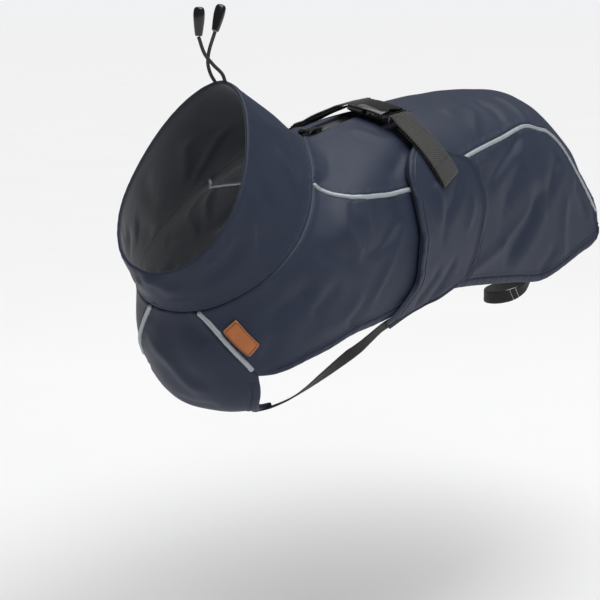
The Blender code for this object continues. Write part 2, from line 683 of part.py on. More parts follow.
def build_socket(matrix, material, collection, tools):
    """The buckle's hollow half, with side windows, a mouth and the bar for the right webbing."""
    rear = BUCKLE_LENGTH / 2
    length = rear - MOUTH
    centre_y = (rear + MOUTH) / 2
    body = box("buckle_socket", (BUCKLE_WIDTH, length, BUCKLE_TALL), (0, centre_y, 0), collection, material)
    round_edges(body, SOCKET_ROUND, 3)
    cavity_length = CAVITY_END - MOUTH + CUT_PAST
    cavity_size = (BUCKLE_WIDTH - 2 * BUCKLE_WALL, cavity_length, BUCKLE_TALL - 2 * BUCKLE_WALL)
    cavity_y = (CAVITY_END + MOUTH - CUT_PAST) / 2
    window_size = (BUCKLE_WIDTH + 2 * CUT_PAST, WINDOW_LENGTH, WINDOW_TALL)
    slot_start = CAVITY_END + BAR_RAIL
    slot_length = rear - slot_start + CUT_PAST
    slot_size = (WEBBING_WIDTH + SLOT_SPARE, slot_length, BUCKLE_TALL + 2 * CUT_PAST)
    slot_y = slot_start + slot_length / 2
    arch_y = MOUTH - ARCH_RADIUS + ARCH_DEPTH
    for tool in (
        box("socket_cavity", cavity_size, (0, cavity_y, 0), tools),
        box("socket_windows", window_size, (0, GRIP_Y, 0), tools),
        box("socket_slot", slot_size, (0, slot_y, 0), tools),
        rod("socket_arch", ARCH_RADIUS, BUCKLE_TALL, (0, arch_y, BUCKLE_TALL / 2), "Z", tools, 32),
    ):
        apply_tool(body, as_tool(tool, body), "DIFFERENCE")
    bar = rod("socket_bar", BAR_RADIUS, WEBBING_WIDTH + 2 * CUT_PAST, (0, SOCKET_BAR, 0), "X", tools, 12)
    apply_tool(body, as_tool(bar, body), "UNION")
    body.matrix_world = matrix
    return body


def build_plug(matrix, material, collection, tools):
    """The buckle's pronged half: a frame with the left webbing's bar, two spring prongs and a guide."""
    front = -BUCKLE_LENGTH / 2
    frame_length = MOUTH - front - SEAM_GAP
    frame_y = (MOUTH - SEAM_GAP + front) / 2
    frame_size = (BUCKLE_WIDTH, frame_length, FRAME_TALL)
    body = box("buckle_plug", frame_size, (0, frame_y, PLUG_DROP), collection, material)
    slot_size = (WEBBING_WIDTH + SLOT_SPARE, 2 * FRAME_SLOT, BUCKLE_TALL + 2 * CUT_PAST)
    slot = box("plug_slot", slot_size, (0, front, 0), tools)
    apply_tool(body, as_tool(slot, body), "DIFFERENCE")
    bar_length = WEBBING_WIDTH + 2 * CUT_PAST
    bar = rod("plug_bar", BAR_RADIUS, bar_length, (0, PLUG_BAR, PLUG_DROP), "X", tools, 12)
    apply_tool(body, as_tool(bar, body), "UNION")
    root = MOUTH - CUT_PAST         # the guide and the prongs start inside the frame
    guide = box("plug_guide", GUIDE_SIZE, (0, root + GUIDE_SIZE[1] / 2, GUIDE_DROP), tools)
    apply_tool(body, as_tool(guide, body), "UNION")
    arm_x = BUCKLE_WIDTH / 2 - ARM_INSET
    for sign in (-1, 1):
        arm_place = (sign * arm_x, root + ARM_SIZE[1] / 2, 0)
        arm = box(f"plug_arm_{sign}", ARM_SIZE, arm_place, tools)
        apply_tool(body, as_tool(arm, body), "UNION")
        grip_place = (sign * (arm_x + GRIP_OUT), GRIP_Y, 0)
        grip = rod(f"plug_grip_{sign}", GRIP_RADIUS, ARM_SIZE[2], grip_place, "Z", tools)
        apply_tool(body, as_tool(grip, body), "UNION")
    round_edges(body, PLUG_ROUND, 1)
    body.matrix_world = matrix
    return body


def build_buckle_and_webbing(hard, woven, collection, tools):
    """The fastened buckle and the two webbings from its bars down to the wings."""
    matrix = buckle_matrix()
    build_socket(matrix, hard, collection, tools)
    build_plug(matrix, hard, collection, tools)
    for word, side, route, bar_place in (
        ("left", -1, WEBBING_LEFT, Vector((0, PLUG_BAR, PLUG_DROP))),
        ("right", 1, WEBBING_RIGHT, Vector((0, SOCKET_BAR, 0))),
    ):
        points, faces = webbing_route(route, side, matrix, bar_place)
        ribbon(f"webbing_{word}", points, faces, WEBBING_WIDTH, WEBBING_WALL, woven, collection)


# Zip ----------------------------------------------------------------------------------------------

def build_zip_tape(material, collection):
    """The closed zip's tape, sewn under the slit's edges."""
    stations = np.array([row.middle for row in SIDE_ROWS[:SLIT_ROWS + 1]])
    stations[0] = TAPE_START
    stations[-1] += TAPE_PAST
    reach = slit_angle(stations, TAPE_HALF)
    shares = np.linspace(-1.0, 1.0, 5)
    places = [[(station, share * angle) for share in shares] for station, angle in zip(stations, reach)]
    cloth("zip_tape", places, TAPE_LIFT - TAPE_WALL, TAPE_WALL, material, collection)


def spine_place(x, lift):
    """A point over the spine at an x, and the slope there."""
    stations = np.linspace(SEAM, LAST_STATION, 8001)
    points = ring_point(stations, 0.0 * stations)
    nearest = np.argmin(np.abs(points[:, 0] - x))
    run = points[nearest + 1] - points[nearest - 1]
    slope = np.arctan2(run[2], run[0])
    return Vector((x, 0.0, points[nearest, 2] + lift)), slope


def build_slider(material, collection, tools):
    """The slider at the collar end, with cheeks that hold the pull tab's pin."""
    place, slope = spine_place(SLIDER_X, TAPE_LIFT + 2 * SEAM_GAP)
    height = SLIDER_SIZE[2]
    body = box("zip_slider", SLIDER_SIZE, (0, 0, height / 2), collection, material)
    pin_z = height + PIN_TALL
    for sign in (-1, 1):
        y = sign * (TAB_HEAD / 2 + RUN + CHEEK_WALL / 2)
        size = (CHEEK_LENGTH, CHEEK_WALL, CHEEK_TALL + RUN)
        cheek = box(f"slider_cheek_{sign}", size, (0, y, height + CHEEK_TALL / 2), tools)
        apply_tool(body, as_tool(cheek, body), "UNION")
    pin = rod("slider_pin", PIN_RADIUS, TAB_HEAD + 2 * RUN + CHEEK_WALL, (0, 0, pin_z), "Y", tools, 12)
    apply_tool(body, as_tool(pin, body), "UNION")
    matrix = Matrix.Translation(place) @ Matrix.Rotation(-slope, 4, "Y")
    body.matrix_world = matrix
    return matrix @ Vector((0, 0, pin_z))


def build_pull_tab(hinge, material, collection, tools):
    """The pull tab, hinged on the slider's pin and lying back along the zip."""
    neck_size = (TAB_NECK + EYE_WALL, TAB_HEAD, TAB_WALL)
    head = box("zip_pull_tab", neck_size, (neck_size[0] / 2, 0, 0), collection, material)
    eye = rod("tab_eye", PIN_RADIUS + RUN + EYE_WALL, TAB_HEAD, (0, 0, 0), "Y", tools)
    blade_length = TAB_LENGTH - TAB_NECK - TAB_WIDTH / 2
    blade_x = TAB_NECK + blade_length / 2
    blade = box("tab_blade", (blade_length, TAB_WIDTH, TAB_WALL), (blade_x, 0, 0), tools)
    end_place = (TAB_LENGTH - TAB_WIDTH / 2, 0, 0)
    round_end = rod("tab_round_end", TAB_WIDTH / 2, TAB_WALL, end_place, "Z", tools, 20)
    for tool in (eye, blade, round_end):
        apply_tool(head, as_tool(tool, head), "UNION")
    bore = rod("tab_bore", PIN_RADIUS + RUN, 3 * TAB_HEAD, (0, 0, 0), "Y", tools)
    hole = rod("tab_hole", TAB_HOLE, 4 * TAB_WALL, end_place, "Z", tools, 14)
    for tool in (bore, hole):
        apply_tool(head, as_tool(tool, head), "DIFFERENCE")
    resting = spine_place(hinge.x + TAB_LENGTH, TAPE_LIFT + 2 * SEAM_GAP + TAB_WALL / 2)[0]
    rise = np.arctan2(resting.z - hinge.z, TAB_LENGTH)
    head.matrix_world = Matrix.Translation(hinge) @ Matrix.Rotation(-rise, 4, "Y")


# Drawcord -----------------------------------------------------------------------------------------

def build_drawcord(side, word, cord, hard, collection):
    """One free end of the collar's drawcord, with its moulded end."""
    along = form_frame(np.array(0.0), np.array(side * CORD_ANGLE))[0]
    mouth = on_form(0.0, side * CORD_ANGLE, -COLLAR_WALL / 2) - along / np.linalg.norm(along) * CORD_CLEAR
    knots = np.vstack([mouth / MM, CORD_ROUTES[word]])
    route = glide(knots, np.linspace(0, len(knots) - 1, 11)) * MM
    tube(f"drawcord_{word}", route, CORD_DIAMETER / 2, cord, collection)
    foot, top = Vector(route[-1]), Vector(CORD_TIPS[word]) * MM
    axis = (top - foot).normalized()
    foot = foot + axis * 2 * SEAM_GAP
    mesh = bmesh.new()
    sides = 12
    turns = [2 * pi * k / sides for k in range(sides)]
    rings = []
    for height, fatness in CORD_END_PROFILE:
        spread, rise = fatness * CORD_END_RADIUS, height * CORD_END_LENGTH
        rings.append([mesh.verts.new((spread * cos(t), spread * sin(t), rise)) for t in turns])
    for lower, upper in zip(rings, rings[1:]):
        for k in range(sides):
            mesh.faces.new([lower[k], lower[k - 1], upper[k - 1], upper[k]])
    mesh.faces.new(rings[0])
    mesh.faces.new(rings[-1])
    cap = finish_mesh(f"drawcord_end_{word}", mesh, hard, collection)
    cap.matrix_world = Matrix.Translation(foot) @ axis.to_track_quat("Z", "Y").to_matrix().to_4x4()


def main():
    """Build every piece of the coat."""
    clear_scene()
    parts = make_collection("dog_coat")
    tools = make_collection("cutters")
    navy = plain_material("navy_shell", NAVY, 0.62)
    folded = plain_material("navy_folded_collar", NAVY_FOLDED, 0.62)
    reflective = plain_material("grey_reflective_piping", PIPING_GREY, 0.45)
    elastic = plain_material("black_elastic", ELASTIC_BLACK, 0.8)
    woven = plain_material("black_webbing", WEBBING_BLACK, 0.7)
    tape = plain_material("zip_tape", TAPE_GREY, 0.5)
    hard = plain_material("black_plastic", HARD_BLACK, 0.22)
    leather = plain_material("tan_leather", LEATHER_TAN, 0.55)
    build_collar(folded, parts)
    build_back(navy, parts)
    build_bib(navy, parts)
    for side, word in ((-1, "left"), (1, "right")):
        build_side(side, word, navy, parts)
        build_wing(side, word, navy, parts)
        build_piping(side, word, reflective, parts)
        strap = (BELLY_STRAP_SEWN, BELLY_STRAP_FREE, STRAP_WIDTH)
        build_elastic(f"belly_strap_{word}", side, *strap, elastic, parts)
        loop = (LOOP_SEWN, LOOP_FREE, LOOP_WIDTH)
        build_elastic(f"leg_loop_{word}", side, *loop, elastic, parts)
        build_drawcord(side, word, elastic, hard, parts)
    build_label(leather, parts)
    build_buckle_and_webbing(hard, woven, parts, tools)
    build_zip_tape(tape, parts)
    hinge = build_slider(hard, parts, tools)
    build_pull_tab(hinge, hard, parts, tools)


main()
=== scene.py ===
"""The looks of a small dog's fleece-lined shell coat, buckled on and hollow, in the form it takes when worn.

The wearer faces -X with its tail at +X, +Z is up and -Y is the wearer's left. The cloth follows one form:
rings of cloth from the collar's rim back to the rear hem. A place on it is a station (how far along the
rings) and an angle (degrees round the ring from the spine, 180 under the belly, + on the wearer's right).
Creases are soft troughs and ridges along lines on the form; panels, trims and stitches all follow them.
"""
from collections import namedtuple
from itertools import starmap
from math import ceil, cos, pi, sin

import bmesh
import bpy
import numpy as np
from bpy.props import FloatProperty, FloatVectorProperty, PointerProperty
from mathutils import Matrix, Vector


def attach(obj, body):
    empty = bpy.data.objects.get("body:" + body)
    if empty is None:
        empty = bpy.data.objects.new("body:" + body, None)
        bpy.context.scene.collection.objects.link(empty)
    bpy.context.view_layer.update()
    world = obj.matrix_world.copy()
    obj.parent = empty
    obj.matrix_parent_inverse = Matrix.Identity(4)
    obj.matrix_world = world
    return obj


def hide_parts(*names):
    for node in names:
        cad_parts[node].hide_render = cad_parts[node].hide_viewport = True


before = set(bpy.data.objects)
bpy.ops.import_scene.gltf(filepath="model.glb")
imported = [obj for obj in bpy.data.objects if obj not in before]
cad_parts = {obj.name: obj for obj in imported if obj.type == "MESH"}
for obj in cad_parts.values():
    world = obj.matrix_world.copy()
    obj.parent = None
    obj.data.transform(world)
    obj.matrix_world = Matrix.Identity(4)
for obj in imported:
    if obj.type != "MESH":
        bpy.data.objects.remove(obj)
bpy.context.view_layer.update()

bl_info = {
    "name": "Dog coat looks",
    "version": (1, 0, 0),
    "blender": (4, 5, 0),
    "location": "3D View > Sidebar > Dog coat",
    "description": "Makes the cloth, trims, buckle, zip and drawcord of a small dog's coat",
    "category": "Object",
}

MM = 0.001
CLOTH_WALL = 1.8 * MM
COLLAR_WALL = 2.4 * MM
SEAM_GAP = 0.3 * MM
PIPING_RADIUS = 1.8 * MM
PIPING_SINK = 0.1 * MM
PIPING_START = 0.018            # share of a row that the pipings leave free at the collar
PIPING_END = 0.28               # the chest piping stops this share of a row before the opening
TRIM = PIPING_RADIUS - 0.8 * MM  # the cloth is tucked a little way into the piping
CORNER_LAP = -0.6 * MM
WING_LIFT = 2.2 * MM            # the wings pass over the piping
WING_SINK = 2.1 * MM            # how far the rear edge sinks to lie flush, and over which angles
WING_FLUSH = (84.0, 14.0)
# where the front edge stands off: an angle, how wide it is (degrees) and how high (mm)
WING_GAPS = ((57.0, 5.0, 1.1), (73.0, 4.5, 0.8), (92.0, 4.0, 1.4), (103.0, 4.0, 1.0))
LABEL_WALL = 1.4 * MM
STRAP_WALL = 1.2 * MM
STRAP_WIDTH = 9.0 * MM
LOOP_WIDTH = 10.0 * MM
TACK_PLACES = (26.0 * MM, 30.0 * MM)
WEBBING_WIDTH = 26.0 * MM
WEBBING_WALL = 1.6 * MM
RIB_PITCH = 1.75 * MM
RIB_CELLS = 12
FOLD_START = 0.35
WRAP_TURNS = (1.2, 4.5)
CORD_DIAMETER = 2.4 * MM
THREAD = (2.1 * MM, 0.5 * MM, 0.28 * MM)   # a stitch's length, its thread's width and its rise
COLLAR_STITCH = 3.4 * MM
WELT_STITCH = 3.0 * MM

SLIT_HALF = 8.0 * MM
SLIT_ROWS = 8
TAPE_HALF = 12.0 * MM
TAPE_WALL = 1.0 * MM
TAPE_LIFT = -2.4 * MM
TAPE_START = 2.03
TAPE_PAST = 0.1
SLIDER_X = -91.0 * MM
SLIDER_TALL = 1.6 * MM
PIN_RADIUS = 0.7 * MM
PIN_TALL = 2.15 * MM
TAB_LENGTH = 22.0 * MM
TAB_WALL = 1.6 * MM

BUCKLE_X = -20.0 * MM
BUCKLE_Y = -19.0 * MM
BUCKLE_TALL = 8.4 * MM
BUCKLE_LIFT = 1.0 * MM
SHELL_POWER = 4.2
SHELL_CROWN = 2.5
BAR_RADIUS = 1.5 * MM
SOCKET_BAR = 16.6 * MM
PLUG_BAR = -17.9 * MM
PLUG_DROP = -0.6 * MM

CORD_END_LENGTH = 18.5 * MM
CORD_END_RADIUS = 3.7 * MM

CAMERA_EYE = Vector((-0.9901, -0.6077, 0.0700))
CAMERA_AIM = Vector((-0.0958, 0.0, -0.1323))
WHITE_BACKDROP = 0.90           # the backdrop as bright as the far floor

Ring = namedtuple("Ring", "name top_x top_z low_x low_z half_width widest round_top round_low")
RINGS = (
    # widest: how far down the ring it is widest; round: 1 is an ellipse, less is boxier (all mm)
    Ring("collar rim", -188, 30.0, -264, -89, 46, 0.60, 1.10, 0.92),
    Ring("collar", -143, 9.0, -255, -104, 53, 0.60, 1.18, 0.92),
    Ring("collar seam", -101, -11.0, -244, -117, 60, 0.60, 1.25, 0.92),
    Ring("chest", -62, -6.0, -236, -156, 70, 0.50, 1.00, 0.80),
    Ring("brisket", -28, -1.0, -203, -192, 73, 0.46, 0.95, 0.76),
    Ring("belly strap", 0, 1.8, -128, -191, 75, 0.46, 0.93, 0.82),
    Ring("girth", 52, 7.5, -26, -176, 76, 0.47, 0.92, 0.80),
    Ring("loin", 107, 11.0, 54, -172, 78, 0.48, 0.92, 0.64),
    Ring("croup", 162, 11.0, 122, -176, 82, 0.48, 0.94, 0.58),
    Ring("rump", 212, 6.0, 172, -182, 86, 0.50, 1.12, 0.56),
    Ring("tail", 253, -15.0, 198, -184, 88, 0.53, 1.26, 0.58),
    Ring("dock", 286, -49.0, 212, -182, 89, 0.55, 1.28, 0.62),
    Ring("rear hem", 317, -90.0, 222, -184, 90, 0.57, 1.25, 0.70),
)
SEAM = 2.0                      # station of the collar seam
COLLAR_END = SEAM + 0.004       # where the collar stops and the panels start, one tucked under the other
SEAM_START = SEAM - 0.008
NECK_SLIDE = 0.17                # how far forward the neck seam's sides are drawn, in stations
NECK_SLIDE_REACH = 0.6
NECK_SLIDE_ANGLES = (8.0, 13.0, 20.0, 27.0, 38.0, 52.0, 62.0, 74.0, 84.0)
NECK_SLIDE_SHARES = (0.0, 0.15, 0.6, 0.95, 1.0, 0.85, 0.5, 0.15, 0.0)

SideRow = namedtuple("SideRow", "top_station top_angle low_station low_angle middle")
SIDE_ROWS = tuple(starmap(SideRow, (
    # top: the back piping; low: chest piping, then leg opening, then hem; middle: the back's centre
    (2.00, 53.5, 2.00, 163.0, 2.00),
    (2.22, 56.0, 2.45, 155.0, 2.22),
    (2.50, 60.5, 2.88, 149.0, 2.50),
    (2.83, 65.0, 3.40, 145.0, 2.83),
    (3.10, 66.5, 3.62, 134.0, 3.10),
    (3.35, 66.5, 3.82, 125.0, 3.35),
    (3.70, 66.3, 4.12, 119.0, 3.70),
    (4.10, 66.0, 4.45, 115.5, 4.10),
    (4.60, 66.0, 4.90, 116.5, 4.55),
    (5.15, 65.0, 5.35, 117.5, 5.10),
    (5.60, 63.0, 5.80, 118.5, 5.60),
    (6.00, 60.0, 6.30, 119.0, 6.00),
    (6.55, 57.0, 6.88, 119.0, 6.55),
    (7.00, 54.3, 7.30, 119.5, 7.00),
    (7.40, 51.0, 7.73, 120.0, 7.40),
    (7.73, 48.8, 8.05, 120.3, 7.73),
    (8.08, 49.6, 8.35, 118.8, 8.06),
    (8.55, 50.4, 8.70, 113.0, 8.52),
    (8.80, 53.4, 9.00, 108.0, 8.86),
    (9.00, 58.2, 9.35, 103.0, 9.22),
    (9.20, 63.8, 9.75, 98.5, 9.60),
    (9.52, 69.0, 10.15, 95.0, 10.10),
    (10.02, 72.4, 10.50, 91.5, 10.70),
    (10.50, 74.6, 10.62, 88.5, 11.40),
)))
CHEST_ROWS = 4                  # rows of the side table that run along the chest piping
CORNER = CHEST_ROWS - 1         # the row where the chest piping meets the foreleg opening

BibRow = namedtuple("BibRow", "edge_station edge_angle middle")
BIB_ROWS = (
    # below the chest piping the bib's edge is the leg opening's
    BibRow(3.70, 149.0, 3.68),
    BibRow(4.00, 157.0, 3.96),
    BibRow(4.20, 162.0, 4.18),
    BibRow(4.42, 162.5, 4.42),
)

WingRow = namedtuple("WingRow", "front_station front_angle rear_station rear_angle")
WING_ROWS = tuple(starmap(WingRow, (
    # from the tip under the webbing down to the neck that the belly strap is sewn to
    (4.80, 37.0, 5.00, 36.0),
    (4.62, 44.5, 5.22, 44.0),
    (4.42, 48.5, 5.36, 50.5),
    (4.28, 54.0, 5.60, 56.0),
    (4.27, 60.0, 5.92, 62.0),
    (4.38, 64.5, 6.06, 66.5),
    (4.60, 72.0, 6.19, 74.0),
    (4.84, 81.0, 6.34, 84.0),
    (5.02, 88.0, 6.42, 91.5),
    (5.16, 94.5, 6.45, 98.0),
    (5.28, 104.0, 6.46, 106.5),
    (5.24, 110.0, 6.36, 113.0),
    (5.18, 113.5, 5.92, 119.0),
    (5.12, 115.5, 5.50, 120.5),
    (5.04, 117.0, 5.22, 122.5),
)))

# Station, angle and lift (mm) where each webbing lies, from its folded end up to its bar.
WEBBING_LOW = ((5.42, 68.0, 0.0), (5.27, 60.5, 0.0), (5.05, 50.5, 0.0))
WEBBING_LEFT = (*WEBBING_LOW, (4.82, 40.5, 0.3), (4.70, 34.0, 0.6))
WEBBING_RIGHT = (*WEBBING_LOW, (4.81, 40.0, 0.0), (4.73, 35.2, 0.0), (4.64, 30.0, -1.9), (4.52, 24.5, -2.2),
                 (4.42, 18.5, -2.2), (4.34, 12.5, -1.5), (4.29, 6.0, 0.3))
LABEL_CORNERS = ((2.36, 142.5), (2.92, 136.8), (3.01, 144.0), (2.46, 151.6))

# Elastic runs on the wearer's right: where each end is sewn to the cloth (station, angle, lift in mm), and
# the free run between (x, y and z in mm, then the direction that the elastic faces).
BELLY_STRAP_SEWN = (
    ((5.24, 119.3, 1.0),),
    ((4.42, 163.0, 1.2), (4.28, 168.0, 1.2)),
)
BELLY_STRAP_FREE = (
    # from the wing's neck down inside the foreleg to the bib's rear corner
    (-88, 65.0, -147.0, -0.05, 0.93, -0.35),
    (-95, 59.5, -154.0, -0.25, 0.90, -0.30),
    (-99, 53.0, -161.0, -0.45, 0.85, -0.20),
    (-104, 46.0, -167.5, -0.55, 0.80, -0.20),
    (-125, 38.0, -179.0, -0.35, 0.75, -0.55),
    (-150, 32.5, -188.5, -0.10, 0.50, -0.85),
)
LOOP_SEWN = (((8.05, 113.0, -3.1),), ((9.25, 98.5, -3.6),))
LOOP_FREE = (
    # round the hind leg, both ends sewn inside the side panel above the hem
    (138, 70, -147, 0.0, 0.95, -0.30),
    (135, 67, -152, -0.30, 0.92, -0.20),
    (129, 59, -157, -0.85, 0.50, -0.10),
    (127, 47, -160, -1.00, 0.00, 0.00),
    (132, 35, -161, -0.75, -0.65, 0.00),
    (147, 27, -161, -0.20, -0.98, 0.00),
    (167, 26, -160, 0.15, -0.98, 0.00),
    (185, 33, -157, 0.55, -0.83, 0.00),
    (196, 46, -151, 0.85, -0.50, 0.10),
    (201, 60, -141, 0.98, -0.10, 0.10),
    (202, 73, -129, 0.85, 0.50, 0.00),
)

# Drawcord: the free ends stand up behind the wearer's head, out of the collar's rim at the nape (mm).
CORD_ANGLE = 7.0
CORD_CLEAR = 0.75 * MM
CORD_ROUTES = {
    "left": ((-195.0, -5.6, 34.5), (-204.0, -5.4, 40.5), (-212.5, -4.8, 48.0), (-217.3, -4.0, 58.4)),
    "right": ((-193.0, 5.3, 34.0), (-196.5, 4.8, 41.0), (-195.6, 4.3, 49.5), (-189.6, 4.0, 61.4)),
}
CORD_TIPS = {"left": (-216.6, -4.0, 72.3), "right": (-183.9, 4.0, 75.0)}


Crease = namedtuple("Crease", "height half_width bank line")
# height and half_width in mm, a trough's height is less than 0; bank: how much the cloth swells or sinks
# beside it; line: (station, angle) places on the wearer's left
COLLAR_CREASES = (
    (1.1, 3.2, 0.25, ((1.15, 24), (1.2, 32.5), (1.3, 40), (1.5, 48.5), (1.73, 57), (1.85, 64))),
    (1.5, 4.6, 0.45, ((0.78, 47), (0.9, 53), (1.1, 56.5), (1.43, 60), (1.73, 60.5))),
    (1.7, 4.6, 0.35, ((0.3, 196), (0.34, 186), (0.45, 178), (0.72, 172), (0.75, 163.5), (0.72, 157))),
    (-2.3, 4.2, 0.45, ((0.75, 155), (0.78, 143), (0.78, 133.5), (0.75, 121), (0.62, 111.5), (0.48, 105))),
    (-0.9, 2.6, 0.5, ((0.03, 131), (0.2, 130), (0.42, 131))),
    (-0.8, 2.4, 0.5, ((0.03, 112), (0.22, 114), (0.4, 119))),
    (-1.5, 7.5, 0.3, ((0.85, 101), (1.0, 98.5), (1.43, 95.5), (1.95, 95))),
    (-1.1, 5.0, 0.4, ((0.2, 74), (0.6, 78), (1.0, 80), (1.5, 78))),
    (1.0, 5.5, 0.3, ((0.1, 34), (0.5, 38), (0.85, 36), (1.1, 30))),
)
SIDE_CREASES = (
    (-3.1, 6.6, 0.42, ((2.62, 134), (2.7, 126), (2.7, 117.5), (2.78, 111), (2.9, 106), (3.08, 102.5))),
    (-1.5, 4.4, 0.45, ((3.3, 114), (3.33, 108), (3.38, 102), (3.52, 97.5))),
    (-1.6, 4.6, 0.4, ((3.25, 142), (3.2, 138), (3.1, 133), (3.02, 127))),
    (-1.5, 4.0, 0.45, ((4.16, 111.5), (4.23, 106), (4.36, 100))),
    (1.9, 4.4, 0.35, ((2.6, 62), (2.66, 66.5), (2.75, 74), (2.98, 83), (3.5, 90), (3.7, 91))),
    (1.3, 4.2, 0.35, ((3.0, 65), (3.1, 69.5), (3.4, 78.5), (3.9, 86))),
    (-2.3, 5.2, 0.4, ((3.78, 65), (3.95, 70), (4.17, 75.5), (4.13, 82), (4.05, 91))),
    (1.5, 3.4, 0.5, ((4.65, 85), (4.6, 90), (4.55, 94.5), (4.5, 101), (4.48, 107))),
    (-1.7, 3.6, 0.5, ((4.45, 77), (4.36, 80.5), (4.22, 85.5), (3.95, 89.5), (3.55, 90.5))),
    (-1.6, 5.4, 0.35, ((2.5, 93), (2.75, 92), (3.2, 92), (4.05, 93))),
    (-1.2, 5.0, 0.4, ((2.3, 112), (2.35, 120), (2.38, 129))),
    (1.3, 6.0, 0.3, ((3.4, 120), (3.75, 112), (4.1, 105), (4.2, 98))),
)
BACK_CREASES = (
    (-2.0, 5.6, 0.4, ((1.98, 53), (2.2, 51.5), (2.38, 47), (2.43, 36), (2.42, 25))),
    (1.4, 4.8, 0.3, ((3.0, 15), (3.2, 21), (3.68, 33.5), (4.45, 39.5))),
    (-1.7, 5.0, 0.45, ((4.5, 40), (4.35, 45), (4.0, 53), (3.62, 60))),
    (2.2, 4.2, 0.4, ((7.7, 14), (7.8, 23.5), (7.86, 33.5), (7.9, 43), (8.0, 50))),
    (1.2, 5.0, 0.35, ((8.28, 33), (8.36, 41), (8.48, 54))),
    (-1.7, 4.8, 0.45, ((7.0, 21), (7.12, 26.5), (7.23, 33), (7.23, 41.5), (7.3, 49))),
    (1.2, 5.6, 0.3, ((5.95, 29), (6.2, 25.5), (6.7, 20.5))),
    (1.3, 4.8, 0.3, ((6.75, 30), (6.6, 36), (6.28, 51))),
    (-1.2, 6.0, 0.35, ((5.7, 10), (6.3, 12), (6.9, 9), (7.5, 12))),
    (-1.4, 6.5, 0.4, ((9.0, 12), (8.9, 26), (9.1, 40), (9.0, 54))),
    (1.4, 5.6, 0.35, ((9.5, 6), (9.55, 24), (9.8, 44), (9.7, 62))),
    (-1.2, 5.2, 0.4, ((10.3, 30), (10.2, 48), (10.05, 66))),
)
WING_CREASES = (
    (1.8, 4.4, 0.45, ((5.1, 66), (5.2, 71), (5.35, 82), (5.52, 92.5))),
    (-1.7, 4.6, 0.4, ((5.72, 65), (5.66, 72), (5.58, 79), (5.47, 87), (5.6, 97))),
    (-1.3, 3.6, 0.45, ((5.95, 100), (5.88, 106), (5.78, 113), (5.6, 120))),
    (1.6, 4.0, 0.4, ((6.35, 109), (6.2, 113.5), (5.95, 118), (5.6, 123))),
    (-1.2, 3.4, 0.45, ((5.66, 101), (5.6, 106), (5.5, 112), (5.45, 119))),
    (1.1, 4.2, 0.35, ((5.95, 78), (6.02, 86), (5.98, 95))),
)
REAR_CREASES = (
    (-3.6, 6.4, 0.5, ((8.02, 82), (7.9, 86.5), (7.72, 91.5), (7.55, 96.5), (7.35, 103.5), (7.16, 111))),
    (1.5, 4.6, 0.3, ((7.8, 86), (7.55, 91), (7.22, 95), (6.95, 101))),
    (-2.3, 4.4, 0.5, ((7.55, 52), (7.4, 56), (7.2, 61.5), (6.93, 67), (6.58, 75), (6.38, 84))),
    (-2.2, 7.0, 0.4, ((7.4, 66), (7.3, 73), (7.15, 80), (6.98, 86.5), (6.9, 95))),
    (-1.9, 5.6, 0.45, ((8.6, 62), (8.5, 67), (8.3, 74), (8.12, 84.5), (8.05, 93))),
    (1.2, 3.2, 0.4, ((6.05, 69), (6.2, 66), (6.6, 63.5))),
    (-1.8, 6.0, 0.4, ((9.05, 73), (9.25, 76.5), (9.5, 80), (9.95, 86))),
    (1.6, 4.6, 0.35, ((6.3, 115), (6.5, 110), (7.0, 100), (7.15, 96))),
    (-1.4, 5.0, 0.4, ((8.6, 98), (8.45, 103), (8.3, 110), (8.2, 117))),
    (1.3, 5.5, 0.35, ((8.85, 82), (8.7, 90), (8.8, 99), (9.0, 105))),
)
BIB_CREASES = tuple(starmap(Crease, (
    (1.9, 4.6, 0.45, ((2.55, 205), (2.7, 194), (2.9, 184), (3.3, 179), (3.36, 175.5), (3.52, 172))),
    (-1.4, 6.5, 0.35, ((2.2, 176), (2.35, 168), (2.6, 161))),
    (-1.2, 5.5, 0.35, ((3.6, 190), (3.75, 182), (3.7, 170))),
    (1.0, 6.0, 0.3, ((2.3, 196), (2.6, 187), (2.75, 178))),
)))
MIRRORED = tuple(starmap(Crease, COLLAR_CREASES + SIDE_CREASES + BACK_CREASES + WING_CREASES + REAR_CREASES))
CREASE_SEED = 11
CREASE_SPREAD = 1.18             # how much wider the creases are worn than first pressed
BANK_SHARE = 0.4
WAVE_SEED = 3
WAVE_HEIGHT = 0.16 * MM


# The form ----

RING_VALUES = np.array([ring[1:] for ring in RINGS], dtype=float)
LAST_STATION = len(RINGS) - 1.0


def unit(vectors):
    """Vectors made 1 long."""
    return vectors / np.linalg.norm(vectors, axis=-1, keepdims=True)


def bell(distance, middle, width):
    """1 at a middle, falling softly to 0 on both sides."""
    return np.exp(-(((distance - middle) / width) ** 2))


def turns_of(sides):
    """The angles of a round ring's corners."""
    return np.linspace(0, 2 * pi, sides, endpoint=False)


def glide(rows, place):
    """Rows of numbers joined by a smooth curve through each of them, read at a fractional row."""
    rows = np.asarray(rows, dtype=float)
    place = np.clip(np.asarray(place, dtype=float), 0.0, len(rows) - 1.0)
    row = np.clip(np.floor(place).astype(int), 0, len(rows) - 2)
    t = (place - row)[..., None]
    here, after = rows[row], rows[row + 1]
    before = np.where((row > 0)[..., None], rows[np.maximum(row - 1, 0)], 2 * here - after)
    later_row = np.minimum(row + 2, len(rows) - 1)
    later = np.where((row < len(rows) - 2)[..., None], rows[later_row], 2 * after - here)
    bend = 2 * before - 5 * here + 4 * after - later
    twist = 3 * here - before - 3 * after + later
    return 0.5 * (2 * here + (after - before) * t + bend * t**2 + twist * t**3)


def smoothed(rows, each):
    """Rows of numbers joined by a smooth curve, with so many steps for each row."""
    return glide(rows, np.linspace(0, len(rows) - 1, each * len(rows)))


